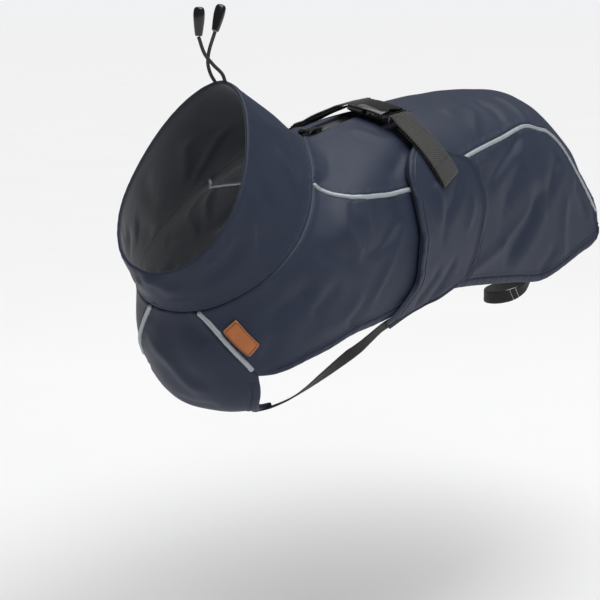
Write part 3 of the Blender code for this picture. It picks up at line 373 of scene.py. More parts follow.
def neck_slide(station, angle):
    """The station with the neck seam's sides drawn forward over the shoulders."""
    side = np.interp(np.abs(angle), NECK_SLIDE_ANGLES, NECK_SLIDE_SHARES)
    return station - NECK_SLIDE * side * bell(station, SEAM, NECK_SLIDE_REACH)


def ring_point(station, angle):
    """The form's point at a station and an angle in degrees."""
    station, angle = np.broadcast_arrays(np.asarray(station, float), np.asarray(angle, float))
    values = glide(RING_VALUES, neck_slide(station, angle))
    top_x, top_z, low_x, low_z, half_width, widest, round_top, round_low = np.moveaxis(values, -1, 0)
    turn = np.radians(angle)
    across, down = np.sin(turn), np.cos(turn)
    power = np.where(down >= 0, round_top, round_low)
    level = np.abs(down) ** power
    depth = np.where(down >= 0, widest * (1 - level), widest + (1 - widest) * level)
    x = top_x + (low_x - top_x) * depth
    z = top_z + (low_z - top_z) * depth
    y = half_width * np.sign(across) * np.abs(across) ** power
    return np.stack([x, y, z], axis=-1) * MM


def form_frame(station, angle):
    """The form's slopes along and round it, and its outward direction."""
    step, turn_step = 0.01, 0.5
    inside = np.clip(station, step, LAST_STATION - step)
    along = (ring_point(inside + step, angle) - ring_point(inside - step, angle)) / (2 * step)
    around = ring_point(station, angle + turn_step) - ring_point(station, angle - turn_step)
    around /= 2 * turn_step
    return along, around, unit(np.cross(along, around))


def on_form(station, angle, lift=0.0):
    """A point lifted off the form along its outward direction."""
    station, angle = np.broadcast_arrays(np.asarray(station, float), np.asarray(angle, float))
    out = form_frame(station, angle)[2]
    middle = 0.5 * (ring_point(station, 0.0 * angle) + ring_point(station, 0.0 * angle + 180.0))
    away = np.sign(np.sum(out * (ring_point(station, angle) - middle), axis=-1, keepdims=True))
    return ring_point(station, angle) + out * away * np.asarray(lift)[..., None]


def outward(station, angle):
    """The form's outward direction."""
    return unit(on_form(station, angle, 1.0) - on_form(station, angle, 0.0))


def points_at(places, lift=0.0):
    """Points at (station, angle) places."""
    return on_form(places[..., 0], places[..., 1], lift)


def outs_at(places):
    """The outward directions at places."""
    return outward(places[..., 0], places[..., 1])


def set_back(edge, distance, towards):
    """An edge curve of (station, angle) rows, moved along the form by a distance, to the side of itself
    on which the angle named by towards lies."""
    edge = np.asarray(edge, dtype=float)
    distance = np.broadcast_to(np.asarray(distance, float), len(edge))
    along, around, out = form_frame(edge[:, 0], edge[:, 1])
    aside = unit(np.cross(np.gradient(points_at(edge), axis=0), out))
    side = np.sign(np.sum(aside * around, axis=-1) * (towards - edge[:, 1]))
    moved = edge.copy()
    for row, (slope_along, slope_around) in enumerate(zip(along, around)):
        slopes = np.stack([slope_along, slope_around], axis=-1)
        step = aside[row] * side[row] * distance[row]
        moved[row] += np.linalg.lstsq(slopes, step, rcond=None)[0]
    return moved


def slit_angle(stations, half):
    """The angle on each ring that lies half a width off the spine."""
    values = glide(RING_VALUES, stations)
    share = half / (values[..., 4] * MM)
    return np.degrees(np.arcsin(share ** (1 / values[..., 6])))


# Creases ----

def smooth(share):
    """0 below 0, 1 above 1, and a soft step between."""
    share = np.clip(share, 0.0, 1.0)
    return share * share * (3 - 2 * share)


def crease_lines():
    """Each crease as points, directions along and aside, and its size, in metres."""
    rng = np.random.default_rng(CREASE_SEED)
    drawn = [(crease, -1, 0.0, 0.0, 1.0) for crease in MIRRORED + BIB_CREASES]
    for crease in MIRRORED:
        drawn.append((crease, 1, rng.uniform(-0.12, 0.12), rng.uniform(-2.5, 2.5), rng.uniform(0.6, 1.1)))
    lines = []
    for crease, side, ahead, turned, share in drawn:
        places = smoothed(np.array(crease.line) + (ahead, turned), 10) * (1, side)
        points = points_at(places)
        run = unit(np.gradient(points, axis=0))
        aside = np.cross(run, outs_at(places)) * side
        lines.append((points, run, aside, crease.height * share * MM, CREASE_SPREAD * crease.half_width * MM,
                      BANK_SHARE * crease.bank))
    return lines


def unevenness(points):
    """The cloth's broad gentle waves."""
    rng = np.random.default_rng(WAVE_SEED)
    total = np.zeros(len(points))
    for length in np.linspace(26 * MM, 95 * MM, 12):
        direction = rng.normal(size=3)
        direction *= 2 * pi / length / np.linalg.norm(direction)
        total += np.sin(points @ direction + rng.uniform(0, 2 * pi)) * length / (95 * MM)
    return total * WAVE_HEIGHT


LINES = crease_lines()


def relief(points):
    """How far the creases and waves lift the cloth at points on the form."""
    flat = points.reshape(-1, 3)
    total = unevenness(flat)
    for line, run, aside, height, half_width, bank in LINES:
        reach = 4 * half_width
        inside = np.all((flat > line.min(axis=0) - reach) & (flat < line.max(axis=0) + reach), axis=1)
        near = np.flatnonzero(inside)
        for chunk in np.array_split(near, max(1, len(near) // 20000)):
            gap = flat[chunk][:, None, :] - line[None, :, :]
            closest = np.argmin(np.einsum("ijk,ijk->ij", gap, gap), axis=1)
            gap = gap[np.arange(len(chunk)), closest]
            across = np.einsum("ij,ij->i", gap, aside[closest]) / half_width
            ahead = np.einsum("ij,ij->i", gap, run[closest]) / np.linalg.norm(line[1] - line[0])
            share = (closest + np.clip(ahead, -9.0, 9.0)) / (len(line) - 1)
            fade = smooth(share / 0.3) * smooth((1 - share) / 0.3)
            steep = np.where(across > 0, across * 1.25, across * 0.85)
            core = np.exp(-np.abs(steep) ** 1.7)
            banks = bell(across, 1.9, 0.95) + 0.5 * bell(across, -2.1, 1.0)
            far = np.linalg.norm(gap, axis=1) < reach
            total[chunk] += height * fade * far * (core - bank * banks)
    return total.reshape(points.shape[:-1])


def creased_at(places, lift=0.0):
    """Points at places on the creased cloth."""
    return points_at(places, relief(points_at(places)) + lift)


# Laying out cloth ----

EDGE_MARKS = np.array((0.0, 0.12, 0.35, 0.7, 1.1, 1.7, 2.5)) * MM
HEM_MARKS = np.array((0.0, 0.12, 0.35, 0.7, 1.1, 1.7, 2.6, 3.6, 4.5, 5.2, 5.8, 6.3, 6.8, 7.3, 7.9,
                      8.6, 9.4, 10.6)) * MM
NO_MARKS = np.zeros(1)
PITCH = 2.2 * MM
DENSE_ALONG = np.linspace(0.0, 1.0, 481)
DENSE_ACROSS = np.linspace(0.0, 1.0, 161)
HEM_WIDTH = 8.2 * MM
HEM_STITCH = 6.3 * MM
Panel = namedtuple("Panel", "places first last front rear run")


def lengths_along(points):
    """Distances run along the last but one axis of points."""
    steps = np.linalg.norm(np.diff(points, axis=-2), axis=-1)
    return np.concatenate([np.zeros(steps.shape[:-1] + (1,)), np.cumsum(steps, axis=-1)], axis=-1)


def read(at, reach, rows):
    """Rows of numbers, read at distances along them."""
    return np.stack([np.interp(at, reach, column) for column in np.transpose(rows)], axis=-1)


def marks(total, first, last, count):
    """Distances over a total: close together at both ends and even between."""
    shrink = min(1.0, 0.42 * total / max(first[-1], last[-1], 1e-9))
    middle = np.linspace(first[-1] * shrink, total - last[-1] * shrink, count + 1)
    return np.concatenate([first[:-1] * shrink, middle, total - last[-2::-1] * shrink])


def lay_out(places, first=NO_MARKS, last=NO_MARKS, pitch=PITCH):
    """Spread each row of dense places at real distances from both its ends."""
    reach = lengths_along(points_at(places))
    count = max(2, ceil((reach[:, -1].max() - first[-1] - last[-1]) / pitch))
    near = np.array([marks(lengths[-1], first, last, count) for lengths in reach])
    rows = [read(at, lengths, row) for at, lengths, row in zip(near, reach, places)]
    return np.array(rows), near, near[:, -1:] - near


def steps_along(middle, first, last, pitch=PITCH):
    """Where along a panel its rows lie, from dense places down its middle: shares of its length."""
    reach = lengths_along(points_at(middle))
    count = ceil((reach[-1] - first[-1] - last[-1]) / pitch)
    at = marks(reach[-1], first, last, count)
    return np.interp(at, reach, np.linspace(0.0, 1.0, len(middle)))


def make_panel(row_places, ends, sides, pitch=PITCH):
    """Lay out a panel: row_places(shares, across) gives places; ends and sides are its edges' marks."""
    middle = row_places(DENSE_ALONG, np.array([0.5]))[:, 0]
    shares = steps_along(middle, *ends, pitch)
    places, first, last = lay_out(row_places(shares, DENSE_ACROSS), *sides, pitch)
    front = lengths_along(points_at(places).swapaxes(0, 1)).T
    return Panel(places, first, last, front, front[-1:] - front, shares)


def between(first, last):
    """Rows of places between two edges."""
    def row_places(shares, across):
        start, stop = first(shares)[:, None, :], last(shares)[:, None, :]
        return start + (stop - start) * across[None, :, None]
    return row_places


def rail(rows, distance=0.0, towards=0.0, at_seam=True, corner=0):
    """A seam as a dense edge, smooth but for one corner, moved aside along the form; read by share."""
    steps = np.linspace(0.0, len(rows) - 1.0, 14 * (len(rows) - 1) + 1)
    edge = glide(rows[corner:], steps - corner)
    if corner:
        edge[steps < corner] = glide(rows[:corner + 1], steps[steps < corner])
    distance = np.interp(steps, np.arange(len(rows)), np.broadcast_to(distance, len(rows)))
    if np.any(distance > 0):
        edge = set_back(edge, distance, towards)
    if at_seam:
        edge[:, 0] += (SEAM_START - edge[0, 0]) * np.clip(1 - steps / 0.5, 0.0, 1.0)
    return lambda share: read(share, steps / steps[-1], edge)


# How cloth lies at its edges ----

def closing(distance, wall=CLOTH_WALL):
    """How far each face of a wall draws in near its folded edge."""
    open_share = np.clip(1 - distance / (0.55 * wall), 0.0, 0.97)
    return 0.5 * wall * (1 - np.sqrt(1 - open_share**2))


def hem(distance, width=HEM_WIDTH, stitch=HEM_STITCH):
    """A turned hem: its thickness, its stitched ditch and the roll of its folded edge."""
    fold = 0.55 * MM * (1 - smooth((distance - width) / (1.3 * MM)))
    return fold + 0.3 * MM * bell(distance, 2.6 * MM, 1.9 * MM) - 0.85 * MM * bell(distance, stitch, 0.8 * MM)


def seam_edge(distance):
    """Cloth turned in at a seam."""
    return 0.45 * MM * bell(distance, 3.0 * MM, 2.2 * MM) - 0.4 * MM * bell(distance, 0.0, 1.3 * MM)


def gathers(run, distance, seed, height=0.3 * MM):
    """Small uneven gathers beside a seam."""
    sway = np.sin(run * 2 * pi / (31 * MM) + 2 * seed)
    wave = np.sin(run * 2 * pi / (9.3 * MM) + seed + 1.4 * sway)
    some = 0.35 + 0.65 * np.sin(run * 2 * pi / (57 * MM) + 3 * seed) ** 2
    return height * wave * some * bell(distance, 3.6 * MM, 3.4 * MM)


# Meshes ----

def signed_volume(points, faces):
    """Six times the volume inside flat-sided faces, less than 0 when they point inwards."""
    total = 0.0
    for corners in faces:
        a, b, c = (points[corners[:, k]] for k in (0, 1, 2))
        total += np.einsum("ij,ij->", a, np.cross(b, c))
        if corners.shape[1] == 4:
            d = points[corners[:, 3]]
            total += np.einsum("ij,ij->", a, np.cross(c, d))
    return total


def in_scene(name, data):
    """A new object in the scene."""
    thing = bpy.data.objects.new(name, data)
    bpy.context.scene.collection.objects.link(thing)
    return thing


def add_object(name, points, faces, materials, picks=None, cloth_map=None):
    """A smooth-shaded mesh object at the origin, its faces pointing outwards."""
    points = np.asarray(points, dtype=float)
    groups = [np.asarray(group) for group in faces if len(group)]
    if signed_volume(points, groups) < 0:
        groups = [group[:, ::-1] for group in groups]
    data = bpy.data.meshes.new(name)
    data.from_pydata(points.tolist(), [], [face for group in groups for face in group.tolist()])
    for material in materials:
        data.materials.append(material)
    if picks is not None:
        data.polygons.foreach_set("material_index", np.asarray(picks, dtype=np.int32))
    if cloth_map is not None:
        layer = data.uv_layers.new(name="cloth")
        corners = np.empty(len(data.loops), dtype=np.int32)
        data.loops.foreach_get("vertex_index", corners)
        layer.data.foreach_set("uv", np.asarray(cloth_map)[corners].ravel())
    data.validate()
    data.update()
    data.shade_smooth()
    return in_scene(name, data)


def wall(name, outer, inner, materials, cloth_map, used=None, closed=False):
    """A closed wall between two grids of points; its inner face takes the second material."""
    rows, columns = outer.shape[:2]
    spans = columns if closed else columns - 1
    if used is None:
        used = np.ones((rows - 1, spans), dtype=bool)
    row, column = np.nonzero(used)
    beside = (column + 1) % columns
    corner = [row * columns + column, row * columns + beside,
              (row + 1) * columns + beside, (row + 1) * columns + column]
    under = rows * columns
    top = np.stack(corner, axis=1)
    bottom = top[:, ::-1] + under
    padded = np.zeros((rows + 1, spans + 2), dtype=bool)
    padded[1:-1, 1:-1] = used
    if closed:
        padded[1:-1, 0], padded[1:-1, -1] = used[:, -1], used[:, 0]
    neighbours = (padded[row, column + 1], padded[row + 1, column + 2],
                  padded[row + 2, column + 1], padded[row + 1, column])
    edges = []
    for k, neighbour in enumerate(neighbours):
        here, there = corner[k][~neighbour], corner[(k + 1) % 4][~neighbour]
        edges.append(np.stack([there, here, here + under, there + under], axis=1))
    edges = np.concatenate(edges)
    points = np.concatenate([outer.reshape(-1, 3), inner.reshape(-1, 3)])
    spread = np.concatenate([cloth_map.reshape(-1, 2)] * 2)
    faces = np.concatenate([top, bottom, edges])
    kept, faces_kept = np.unique(faces, return_inverse=True)
    picks = np.concatenate([np.zeros(len(top)), np.ones(len(bottom)), np.zeros(len(edges))])
    return add_object(name, points[kept], [faces_kept.reshape(faces.shape)], materials, picks, spread[kept])


def sweep(name, rings, materials, cloth_map=None):
    """A closed skin over rings of points, with its two ends filled."""
    count, sides = rings.shape[:2]
    row, side = np.meshgrid(np.arange(count - 1), np.arange(sides), indexing="ij")
    beside = (side + 1) % sides
    quads = np.stack([row * sides + side, row * sides + beside,
                      (row + 1) * sides + beside, (row + 1) * sides + side], axis=-1).reshape(-1, 4)
    points = np.concatenate([rings.reshape(-1, 3), rings[:1].mean(axis=1), rings[-1:].mean(axis=1)])
    turn = np.arange(sides)
    start = np.stack([np.roll(turn, -1), turn, np.full(sides, count * sides)], axis=1)
    last = (count - 1) * sides
    stop = np.stack([last + turn, last + np.roll(turn, -1), np.full(sides, count * sides + 1)], axis=1)
    if cloth_map is not None:
        ends = cloth_map[[0, -1]].mean(axis=1)
        cloth_map = np.concatenate([cloth_map.reshape(-1, 2), ends])
    return add_object(name, points, [quads, np.concatenate([start, stop])], materials, None, cloth_map)


def strap_frames(points, outs):
    """Directions along, across and out of a strap at its points."""
    steps = unit(np.diff(points, axis=0))
    run = unit(np.vstack([steps[:1], steps[:-1] + steps[1:], steps[-1:]]))
    side = unit(np.cross(run, outs))
    return run, side, np.cross(side, run)


def evenly(points, outs, pitch):
    """Points and outs along a line, a pitch apart, and how far along each is."""
    reach = lengths_along(points)
    at = np.linspace(0.0, reach[-1], max(2, int(round(reach[-1] / pitch))) + 1)
    return read(at, reach, points), unit(read(at, reach, outs)), at


def cord_rings(points, radius, sides):
    """Round rings about a line, turned as little as possible from one to the next."""
    run = unit(np.gradient(points, axis=0))
    side = np.cross(run[0], (0.0, 0.0, 1.0) if abs(run[0][2]) < 0.8 else (0.0, 1.0, 0.0))
    first = []
    for direction in run:
        side = unit(side - direction * np.dot(side, direction))
        first.append(side)
    first = np.array(first)[:, None]
    turns = turns_of(sides)[None, :, None]
    radius = np.broadcast_to(radius, (len(points), sides))[..., None]
    return points[:, None] + (first * np.cos(turns) + np.cross(run[:, None], first) * np.sin(turns)) * radius


def rides(thing, slot, *nodes, body="coat"):
    """Put a finished piece on its body and hide the solids it stands for; the slot argument is not used."""
    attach(thing, body)
    if nodes:
        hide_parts(*nodes)
    return thing


# Node trees ----

class Signal:
    """A socket in a node tree, with arithmetic."""

    def __init__(self, owner, socket):
        self.owner = owner
        self.socket = socket

    def maths(self, operation, *others):
        values = dict(enumerate((self, *others)))
        return self.owner.node("ShaderNodeMath", {"operation": operation}, values)

    def __add__(self, other):
        return self.maths("ADD", other)

    __radd__ = __add__

    def __mul__(self, other):
        return self.maths("MULTIPLY", other)

    __rmul__ = __mul__

    def __pow__(self, other):
        return self.maths("POWER", other)


class Tree:
    """A node tree that is built one node at a time."""

    def __init__(self, tree):
        self.tree = tree

    def node(self, kind, settings=(), sockets=(), output=0):
        """Add a node: its settings first, then its sockets' values or links."""
        made = self.tree.nodes.new(kind)
        for name, value in dict(settings).items():
            if name == "stops":
                for k, (place, colour) in enumerate(value):
                    stop = made.color_ramp.elements[k] if k < 2 else made.color_ramp.elements.new(place)
                    stop.position, stop.color = place, colour
            else:
                setattr(made, name, value)
        for name, value in dict(sockets).items():
            if isinstance(value, Signal):
                self.tree.links.new(value.socket, made.inputs[name])
            else:
                made.inputs[name].default_value = value
        return Signal(self, made.outputs[output]) if len(made.outputs) else made


class Finish(Tree):
    """A material of one Principled shader."""

    def __init__(self, name):
        self.material = bpy.data.materials.new(name)
        self.material.use_nodes = True
        super().__init__(self.material.node_tree)
        self.shader = self.tree.nodes["Principled BSDF"]
        self.place = self.node("ShaderNodeTexCoord", output=3)

    def noise(self, scale, detail=3.0, roughness=0.5):
        """Noise from 0 to 1 at a scale per metre."""
        sockets = {"Vector": self.place, "Scale": scale, "Detail": detail, "Roughness": roughness}
        return self.node("ShaderNodeTexNoise", {}, sockets)

    def blend(self, share, first, second):
        """A colour between two."""
        settings = {"data_type": "RGBA", "clamp_factor": True}
        return self.node("ShaderNodeMix", settings, {0: share, 6: first, 7: second}, output=2)

    def tones(self, share, colour, low, high):
        """A colour that runs from one share of itself to another."""
        return self.blend(share, shade(colour, low), shade(colour, high))

    def cloth_lines(self, pitch_along, pitch_across):
        """Waves along and across a piece's own cloth map."""
        where = self.node("ShaderNodeUVMap", {"uv_map": "cloth"})
        split = self.tree.nodes.new("ShaderNodeSeparateXYZ")
        self.tree.links.new(where.socket, split.inputs[0])
        along, across = (Signal(self, split.outputs[k]) for k in (0, 1))
        waves = (along * (2 * pi / pitch_along), across * (2 * pi / pitch_across))
        return [wave.maths("SINE") for wave in waves]

    def finish(self, height=None, depth=0.0001, strength=0.5, **sockets):
        """Set the shader's sockets by name; height drives its bump."""
        if height is not None:
            values = {"Height": height, "Distance": depth, "Strength": strength}
            sockets["Normal"] = self.node("ShaderNodeBump", {}, values)
        for name, value in sockets.items():
            socket = self.shader.inputs[name.replace("_", " ")]
            if isinstance(value, Signal):
                self.tree.links.new(value.socket, socket)
            else:
                socket.default_value = value
        return self.material


def shade(colour, share=1.0):
    """A colour made lighter or darker, with its alpha."""
    return (*(part * share for part in colour), 1.0)


def shell_cloth(finish, colour):
    """Smooth coated shell cloth with a faint tight weave and a soft sheen."""
    warp, weft = finish.cloth_lines(0.62 * MM, 0.62 * MM)
    patches = finish.noise(38.0, 4.0)
    grain = finish.noise(2600.0, 2.0)
    tone = finish.tones(patches, colour, 0.86, 1.14)
    tone = finish.blend(grain * 0.35, tone, shade(colour, 1.5))
    rough = patches * 0.08 + grain * 0.06 + 0.42
    height = warp * weft * 0.5 + grain * 0.9 + finish.noise(420.0, 2.0) * 1.2
    return finish.finish(height, 0.06 * MM, 0.55, Base_Color=tone, Roughness=rough,
                         Sheen_Weight=0.02, Sheen_Roughness=0.35, Sheen_Tint=(0.75, 0.82, 1.0, 1.0),
                         Specular_IOR_Level=0.22)


def inner_cloth(finish, colour):
    """The plain brushed inner face."""
    pile = finish.noise(1500.0, 4.0)
    clumps = finish.noise(260.0, 3.0)
    tone = finish.tones(pile * 0.6 + clumps * 0.4, colour, 0.34, 0.78)
    return finish.finish(pile + clumps * 0.8, 0.4 * MM, 0.7, Base_Color=tone, Roughness=0.92,
                         Sheen_Weight=0.3, Sheen_Roughness=0.6)


def reflective(finish, colour):
    """Grey reflective piping: fine glass beads on a tight cloth."""
    beads = finish.node("ShaderNodeTexVoronoi", {}, {"Vector": finish.place, "Scale": 3600.0})
    wear = finish.noise(240.0, 4.0)
    tone = finish.tones(wear, colour, 0.82, 1.12)
    tone = finish.blend(beads * 0.5, tone, shade(colour, 0.7))
    return finish.finish(beads + wear * 0.5, 0.07 * MM, 0.6, Base_Color=tone, Roughness=wear * 0.15 + 0.34,
                         Metallic=0.25)


def elastic(finish, colour):
    """Knitted black elastic: lengthwise ribs with short cross stitches."""
    along, across = finish.cloth_lines(0.9 * MM, 1.25 * MM)
    knit = along * 0.5 + across * 0.5
    fuzz = finish.noise(2400.0, 3.0)
    tone = finish.tones(knit * 0.5 + fuzz * 0.5, colour, 0.7, 2.0)
    return finish.finish(knit + fuzz * 0.7, 0.12 * MM, 0.7, Base_Color=tone, Roughness=fuzz * 0.1 + 0.72,
                         Sheen_Weight=0.2)


def webbing(finish, colour):
    """Woven black webbing: fine threads with a dull shine."""
    threads = finish.noise(1900.0, 2.0)
    patches = finish.noise(120.0, 3.0)
    tone = finish.tones(threads * 0.6 + patches * 0.3, colour, 0.6, 2.2)
    return finish.finish(threads, 0.1 * MM, 0.6, Base_Color=tone, Roughness=threads * 0.14 + 0.5,
                         Sheen_Weight=0.15)


def coated_tape(finish, colour):
    """The zip's coated tape, dark and a little shiny."""
    grain = finish.noise(1300.0, 3.0)
    scuffs = finish.noise(150.0, 4.0)
    tone = finish.tones(scuffs, colour, 0.8, 1.3)
    return finish.finish(grain + scuffs * 0.5, 0.07 * MM, 0.5, Base_Color=tone,
                         Roughness=scuffs * 0.14 + 0.28, Specular_IOR_Level=0.5)


def moulded_plastic(finish, colour):
    """Glossy moulded plastic with a faint grain and small scuffs."""
    grain = finish.noise(2200.0, 2.0)
    scuffs = finish.noise(210.0, 6.0, roughness=0.7)
    tone = finish.tones(scuffs * 0.5, colour, 0.9, 1.6)
    return finish.finish(grain + scuffs * 0.6, 0.012 * MM, 0.2, Base_Color=tone,
                         Roughness=scuffs * 0.10 + grain * 0.03 + 0.10, Specular_IOR_Level=0.55)


def black_metal(finish, colour):
    """Black-plated metal, polished where it is handled."""
    wear = finish.noise(330.0, 5.0, roughness=0.65)
    grain = finish.noise(2600.0, 2.0)
    tone = finish.blend(wear ** 3, shade(colour, 0.9), shade((0.3, 0.31, 0.33)))
    return finish.finish(grain * 0.6 + wear, 0.02 * MM, 0.35, Base_Color=tone, Roughness=wear * 0.14 + 0.14,
                         Metallic=0.85)


def leather(finish, colour):
    """Smooth tan leather with a fine pebbled grain and darker handling marks."""
    pebbles = finish.node("ShaderNodeTexVoronoi", {"feature": "SMOOTH_F1"},
                          {"Vector": finish.place, "Scale": 1700.0, "Smoothness": 0.6})
    marks_on = finish.noise(130.0, 5.0, roughness=0.6)
    pores = finish.noise(2800.0, 2.0)
    tone = finish.tones(marks_on, colour, 0.72, 1.22)
    tone = finish.blend(pores * 0.25, tone, shade((0.16, 0.05, 0.015)))
    return finish.finish(pebbles * 0.8 + pores * 0.4, 0.12 * MM, 0.6, Base_Color=tone,
                         Roughness=marks_on * 0.15 + 0.42)


def cut_leather(finish, colour):
    """The pale fibrous cut edge of leather."""
    fibres = finish.noise(2600.0, 4.0)
    tone = finish.blend(fibres, shade(colour, 1.1), shade((0.75, 0.5, 0.3)))
    return finish.finish(fibres, 0.15 * MM, 0.7, Base_Color=tone, Roughness=0.8)


def thread(finish, colour):
    """Twisted sewing thread."""
    twist = finish.noise(5200.0, 2.0)
    tone = finish.tones(twist, colour, 0.8, 1.35)
    return finish.finish(twist, 0.05 * MM, 0.7, Base_Color=tone, Roughness=twist * 0.1 + 0.5)


def pale_floor(finish, colour):
    """The plain pale floor."""
    tone = finish.tones(finish.noise(3.0, 2.0), colour, 1.0, 1.0375)
    return finish.finish(Base_Color=tone, Roughness=0.85, Specular_IOR_Level=0.2)


# Each finish: what makes it, its colour or the sidebar's name for it, and the share of that colour.
FINISHES = {
    "navy_shell": (shell_cloth, "shell_colour", 1.0),
    "navy_collar": (shell_cloth, "shell_colour", 0.94),
    "navy_inside": (inner_cloth, "shell_colour", 1.0),
    "grey_piping": (reflective, "piping_colour", 1.0),
    "black_elastic": (elastic, (0.018, 0.019, 0.020), 1.0),
    "black_webbing": (webbing, (0.022, 0.022, 0.018), 1.0),
    "zip_tape": (coated_tape, (0.040, 0.042, 0.040), 1.0),
    "black_cord": (thread, (0.016, 0.016, 0.017), 1.0),
    "black_plastic": (moulded_plastic, (0.011, 0.011, 0.012), 1.0),
    "black_metal": (black_metal, (0.035, 0.036, 0.038), 1.0),
    "tan_leather": (leather, "leather_colour", 1.0),
    "leather_edge": (cut_leather, "leather_colour", 1.0),
    "navy_thread": (thread, "shell_colour", 1.15),
    "dark_thread": (thread, (0.05, 0.025, 0.015), 1.0),
    "white_thread": (thread, (0.62, 0.62, 0.62), 1.0),
    "pale_floor": (pale_floor, (0.80, 0.80, 0.80), 1.0),
}


def finish_for(name):
    """The material of a finish, made from the sidebar's colours when it is first asked for."""
    made = bpy.data.materials.get(name + ".looks")
    if made:
        return made
    make, colour, share = FINISHES[name]
    if isinstance(colour, str):
        colour = getattr(bpy.context.scene.coat_looks, colour)
    return make(Finish(name + ".looks"), [part * share for part in colour])


# Stitches, links and ribs ----

def repeat_tree(name, build):
    """A Geometry Nodes tree that sets a small shape on every point, turned by its run and out."""
    tree = bpy.data.node_groups.new(name, "GeometryNodeTree")
    nodes = Tree(tree)
    kinds = {"Geometry": "Geometry", "Length": "Float", "Width": "Float", "Height": "Float",
             "Finish": "Material", "Seed": "Int"}
    for label, kind in kinds.items():
        tree.interface.new_socket(label, in_out="INPUT", socket_type="NodeSocket" + kind)
    tree.interface.new_socket("Geometry", in_out="OUTPUT", socket_type="NodeSocketGeometry")
    entry = tree.nodes.new("NodeGroupInput")
    given = {socket.name: Signal(nodes, socket) for socket in entry.outputs if socket.name}
    shape = build(nodes, given["Length"], given["Width"], given["Height"])
    facing = {}
    for label in ("run", "out"):
        settings = {"data_type": "FLOAT_VECTOR"}
        facing[label] = nodes.node("GeometryNodeInputNamedAttribute", settings, {"Name": label})
    turn = nodes.node("FunctionNodeAxesToRotation", {"primary_axis": "X", "secondary_axis": "Z"},
                      {0: facing["run"], 1: facing["out"]})
    size = nodes.node("FunctionNodeRandomValue", {"data_type": "FLOAT_VECTOR"},
                      {0: (0.92, 0.94, 0.92), 1: (1.05, 1.06, 1.08), "Seed": given["Seed"]})
    copies = nodes.node("GeometryNodeInstanceOnPoints", {},
                        {"Points": given["Geometry"], "Instance": shape, "Rotation": turn, "Scale": size})
    real = nodes.node("GeometryNodeRealizeInstances", {}, {0: copies})
    soft = nodes.node("GeometryNodeSetShadeSmooth", {}, {0: real})
    done = nodes.node("GeometryNodeSetMaterial", {}, {"Geometry": soft, "Material": given["Finish"]})
    leave = tree.nodes.new("NodeGroupOutput")
    tree.links.new(done.socket, leave.inputs[0])
    return tree


def stitch_shape(nodes, length, width, height):
    """A short thread that rises from the cloth and dives back in."""
    ends = []
    for sign in (-0.5, 0.0, 0.5):
        rise = height * (1.0 if sign == 0 else -1.0)
        ends.append(nodes.node("ShaderNodeCombineXYZ", {}, {0: length * sign, 2: rise}))
    line = nodes.node("GeometryNodeCurveQuadraticBezier", {},
                      {"Resolution": 4, "Start": ends[0], "Middle": ends[1], "End": ends[2]})
    ring = nodes.node("GeometryNodeCurvePrimitiveCircle", {}, {"Resolution": 5, "Radius": width * 0.5})
    parts = {"Curve": line, "Profile Curve": ring, "Fill Caps": True}
    return nodes.node("GeometryNodeCurveToMesh", {}, parts)


def pillow_shape(nodes, length, width, height):
    """A small pillow: one visible crossing of a woven strap."""
    ball = nodes.node("GeometryNodeMeshUVSphere", {}, {"Segments": 8, "Rings": 4, "Radius": 0.5})
    size = nodes.node("ShaderNodeCombineXYZ", {}, {0: length, 1: width, 2: height})
    return nodes.node("GeometryNodeTransform", {}, {"Geometry": ball, "Scale": size})


def link_shape(nodes, length, width, height):
    """One turn of the zip's coil, lying across the tape."""
    ring = nodes.node("GeometryNodeCurvePrimitiveCircle", {}, {"Resolution": 10, "Radius": 0.5})
    size = nodes.node("ShaderNodeCombineXYZ", {}, {0: length, 1: width, 2: height})
    flat = nodes.node("GeometryNodeTransform", {}, {"Geometry": ring, "Rotation": (0.0, pi / 2 + 0.12, 0.0)})
    oval = nodes.node("GeometryNodeTransform", {}, {"Geometry": flat, "Scale": size})
    bead = nodes.node("GeometryNodeCurvePrimitiveCircle", {}, {"Resolution": 5, "Radius": 0.28 * MM})
    return nodes.node("GeometryNodeCurveToMesh", {}, {"Curve": oval, "Profile Curve": bead})


SHAPES = {"stitch": stitch_shape, "pillow": pillow_shape, "link": link_shape}


def repeated(name, shape, places, size, finish, seed=1):
    """A plain mesh with one small shape at each place: places are points, runs and outs."""
    tree = bpy.data.node_groups.get(f"coat_{shape}") or repeat_tree(f"coat_{shape}", SHAPES[shape])
    points, runs, outs = (np.concatenate(group) for group in zip(*places))
    data = bpy.data.meshes.new(name)
    data.from_pydata(points.tolist(), [], [])
    for label, rows in (("run", runs), ("out", outs)):
        layer = data.attributes.new(label, "FLOAT_VECTOR", "POINT")
        layer.data.foreach_set("vector", rows.ravel())
    guide = in_scene(name + "_places", data)
    modifier = guide.modifiers.new("repeat", "NODES")
    modifier.node_group = tree
    values = dict(zip(("Length", "Width", "Height"), size), Finish=finish, Seed=seed)
    for socket in tree.interface.items_tree:
        if socket.in_out == "INPUT" and socket.name in values:
            modifier[socket.identifier] = values[socket.name]
    mesh = bpy.data.meshes.new_from_object(guide.evaluated_get(bpy.context.evaluated_depsgraph_get()))
    bpy.data.objects.remove(guide, do_unlink=True)
    for label in ("run", "out"):
        if label in mesh.attributes:
            mesh.attributes.remove(mesh.attributes[label])
    mesh.name = name
    return in_scene(name, mesh)


# Pieces of cloth ----

def back_rows():
    """The seam of the back piping on the left, station and angle."""
    return np.array([(row.top_station, -row.top_angle) for row in SIDE_ROWS])


def low_rows():
    """The side panel's lower edge on the left: chest piping, leg opening and hem."""
    return np.array([(row.low_station, -row.low_angle) for row in SIDE_ROWS])


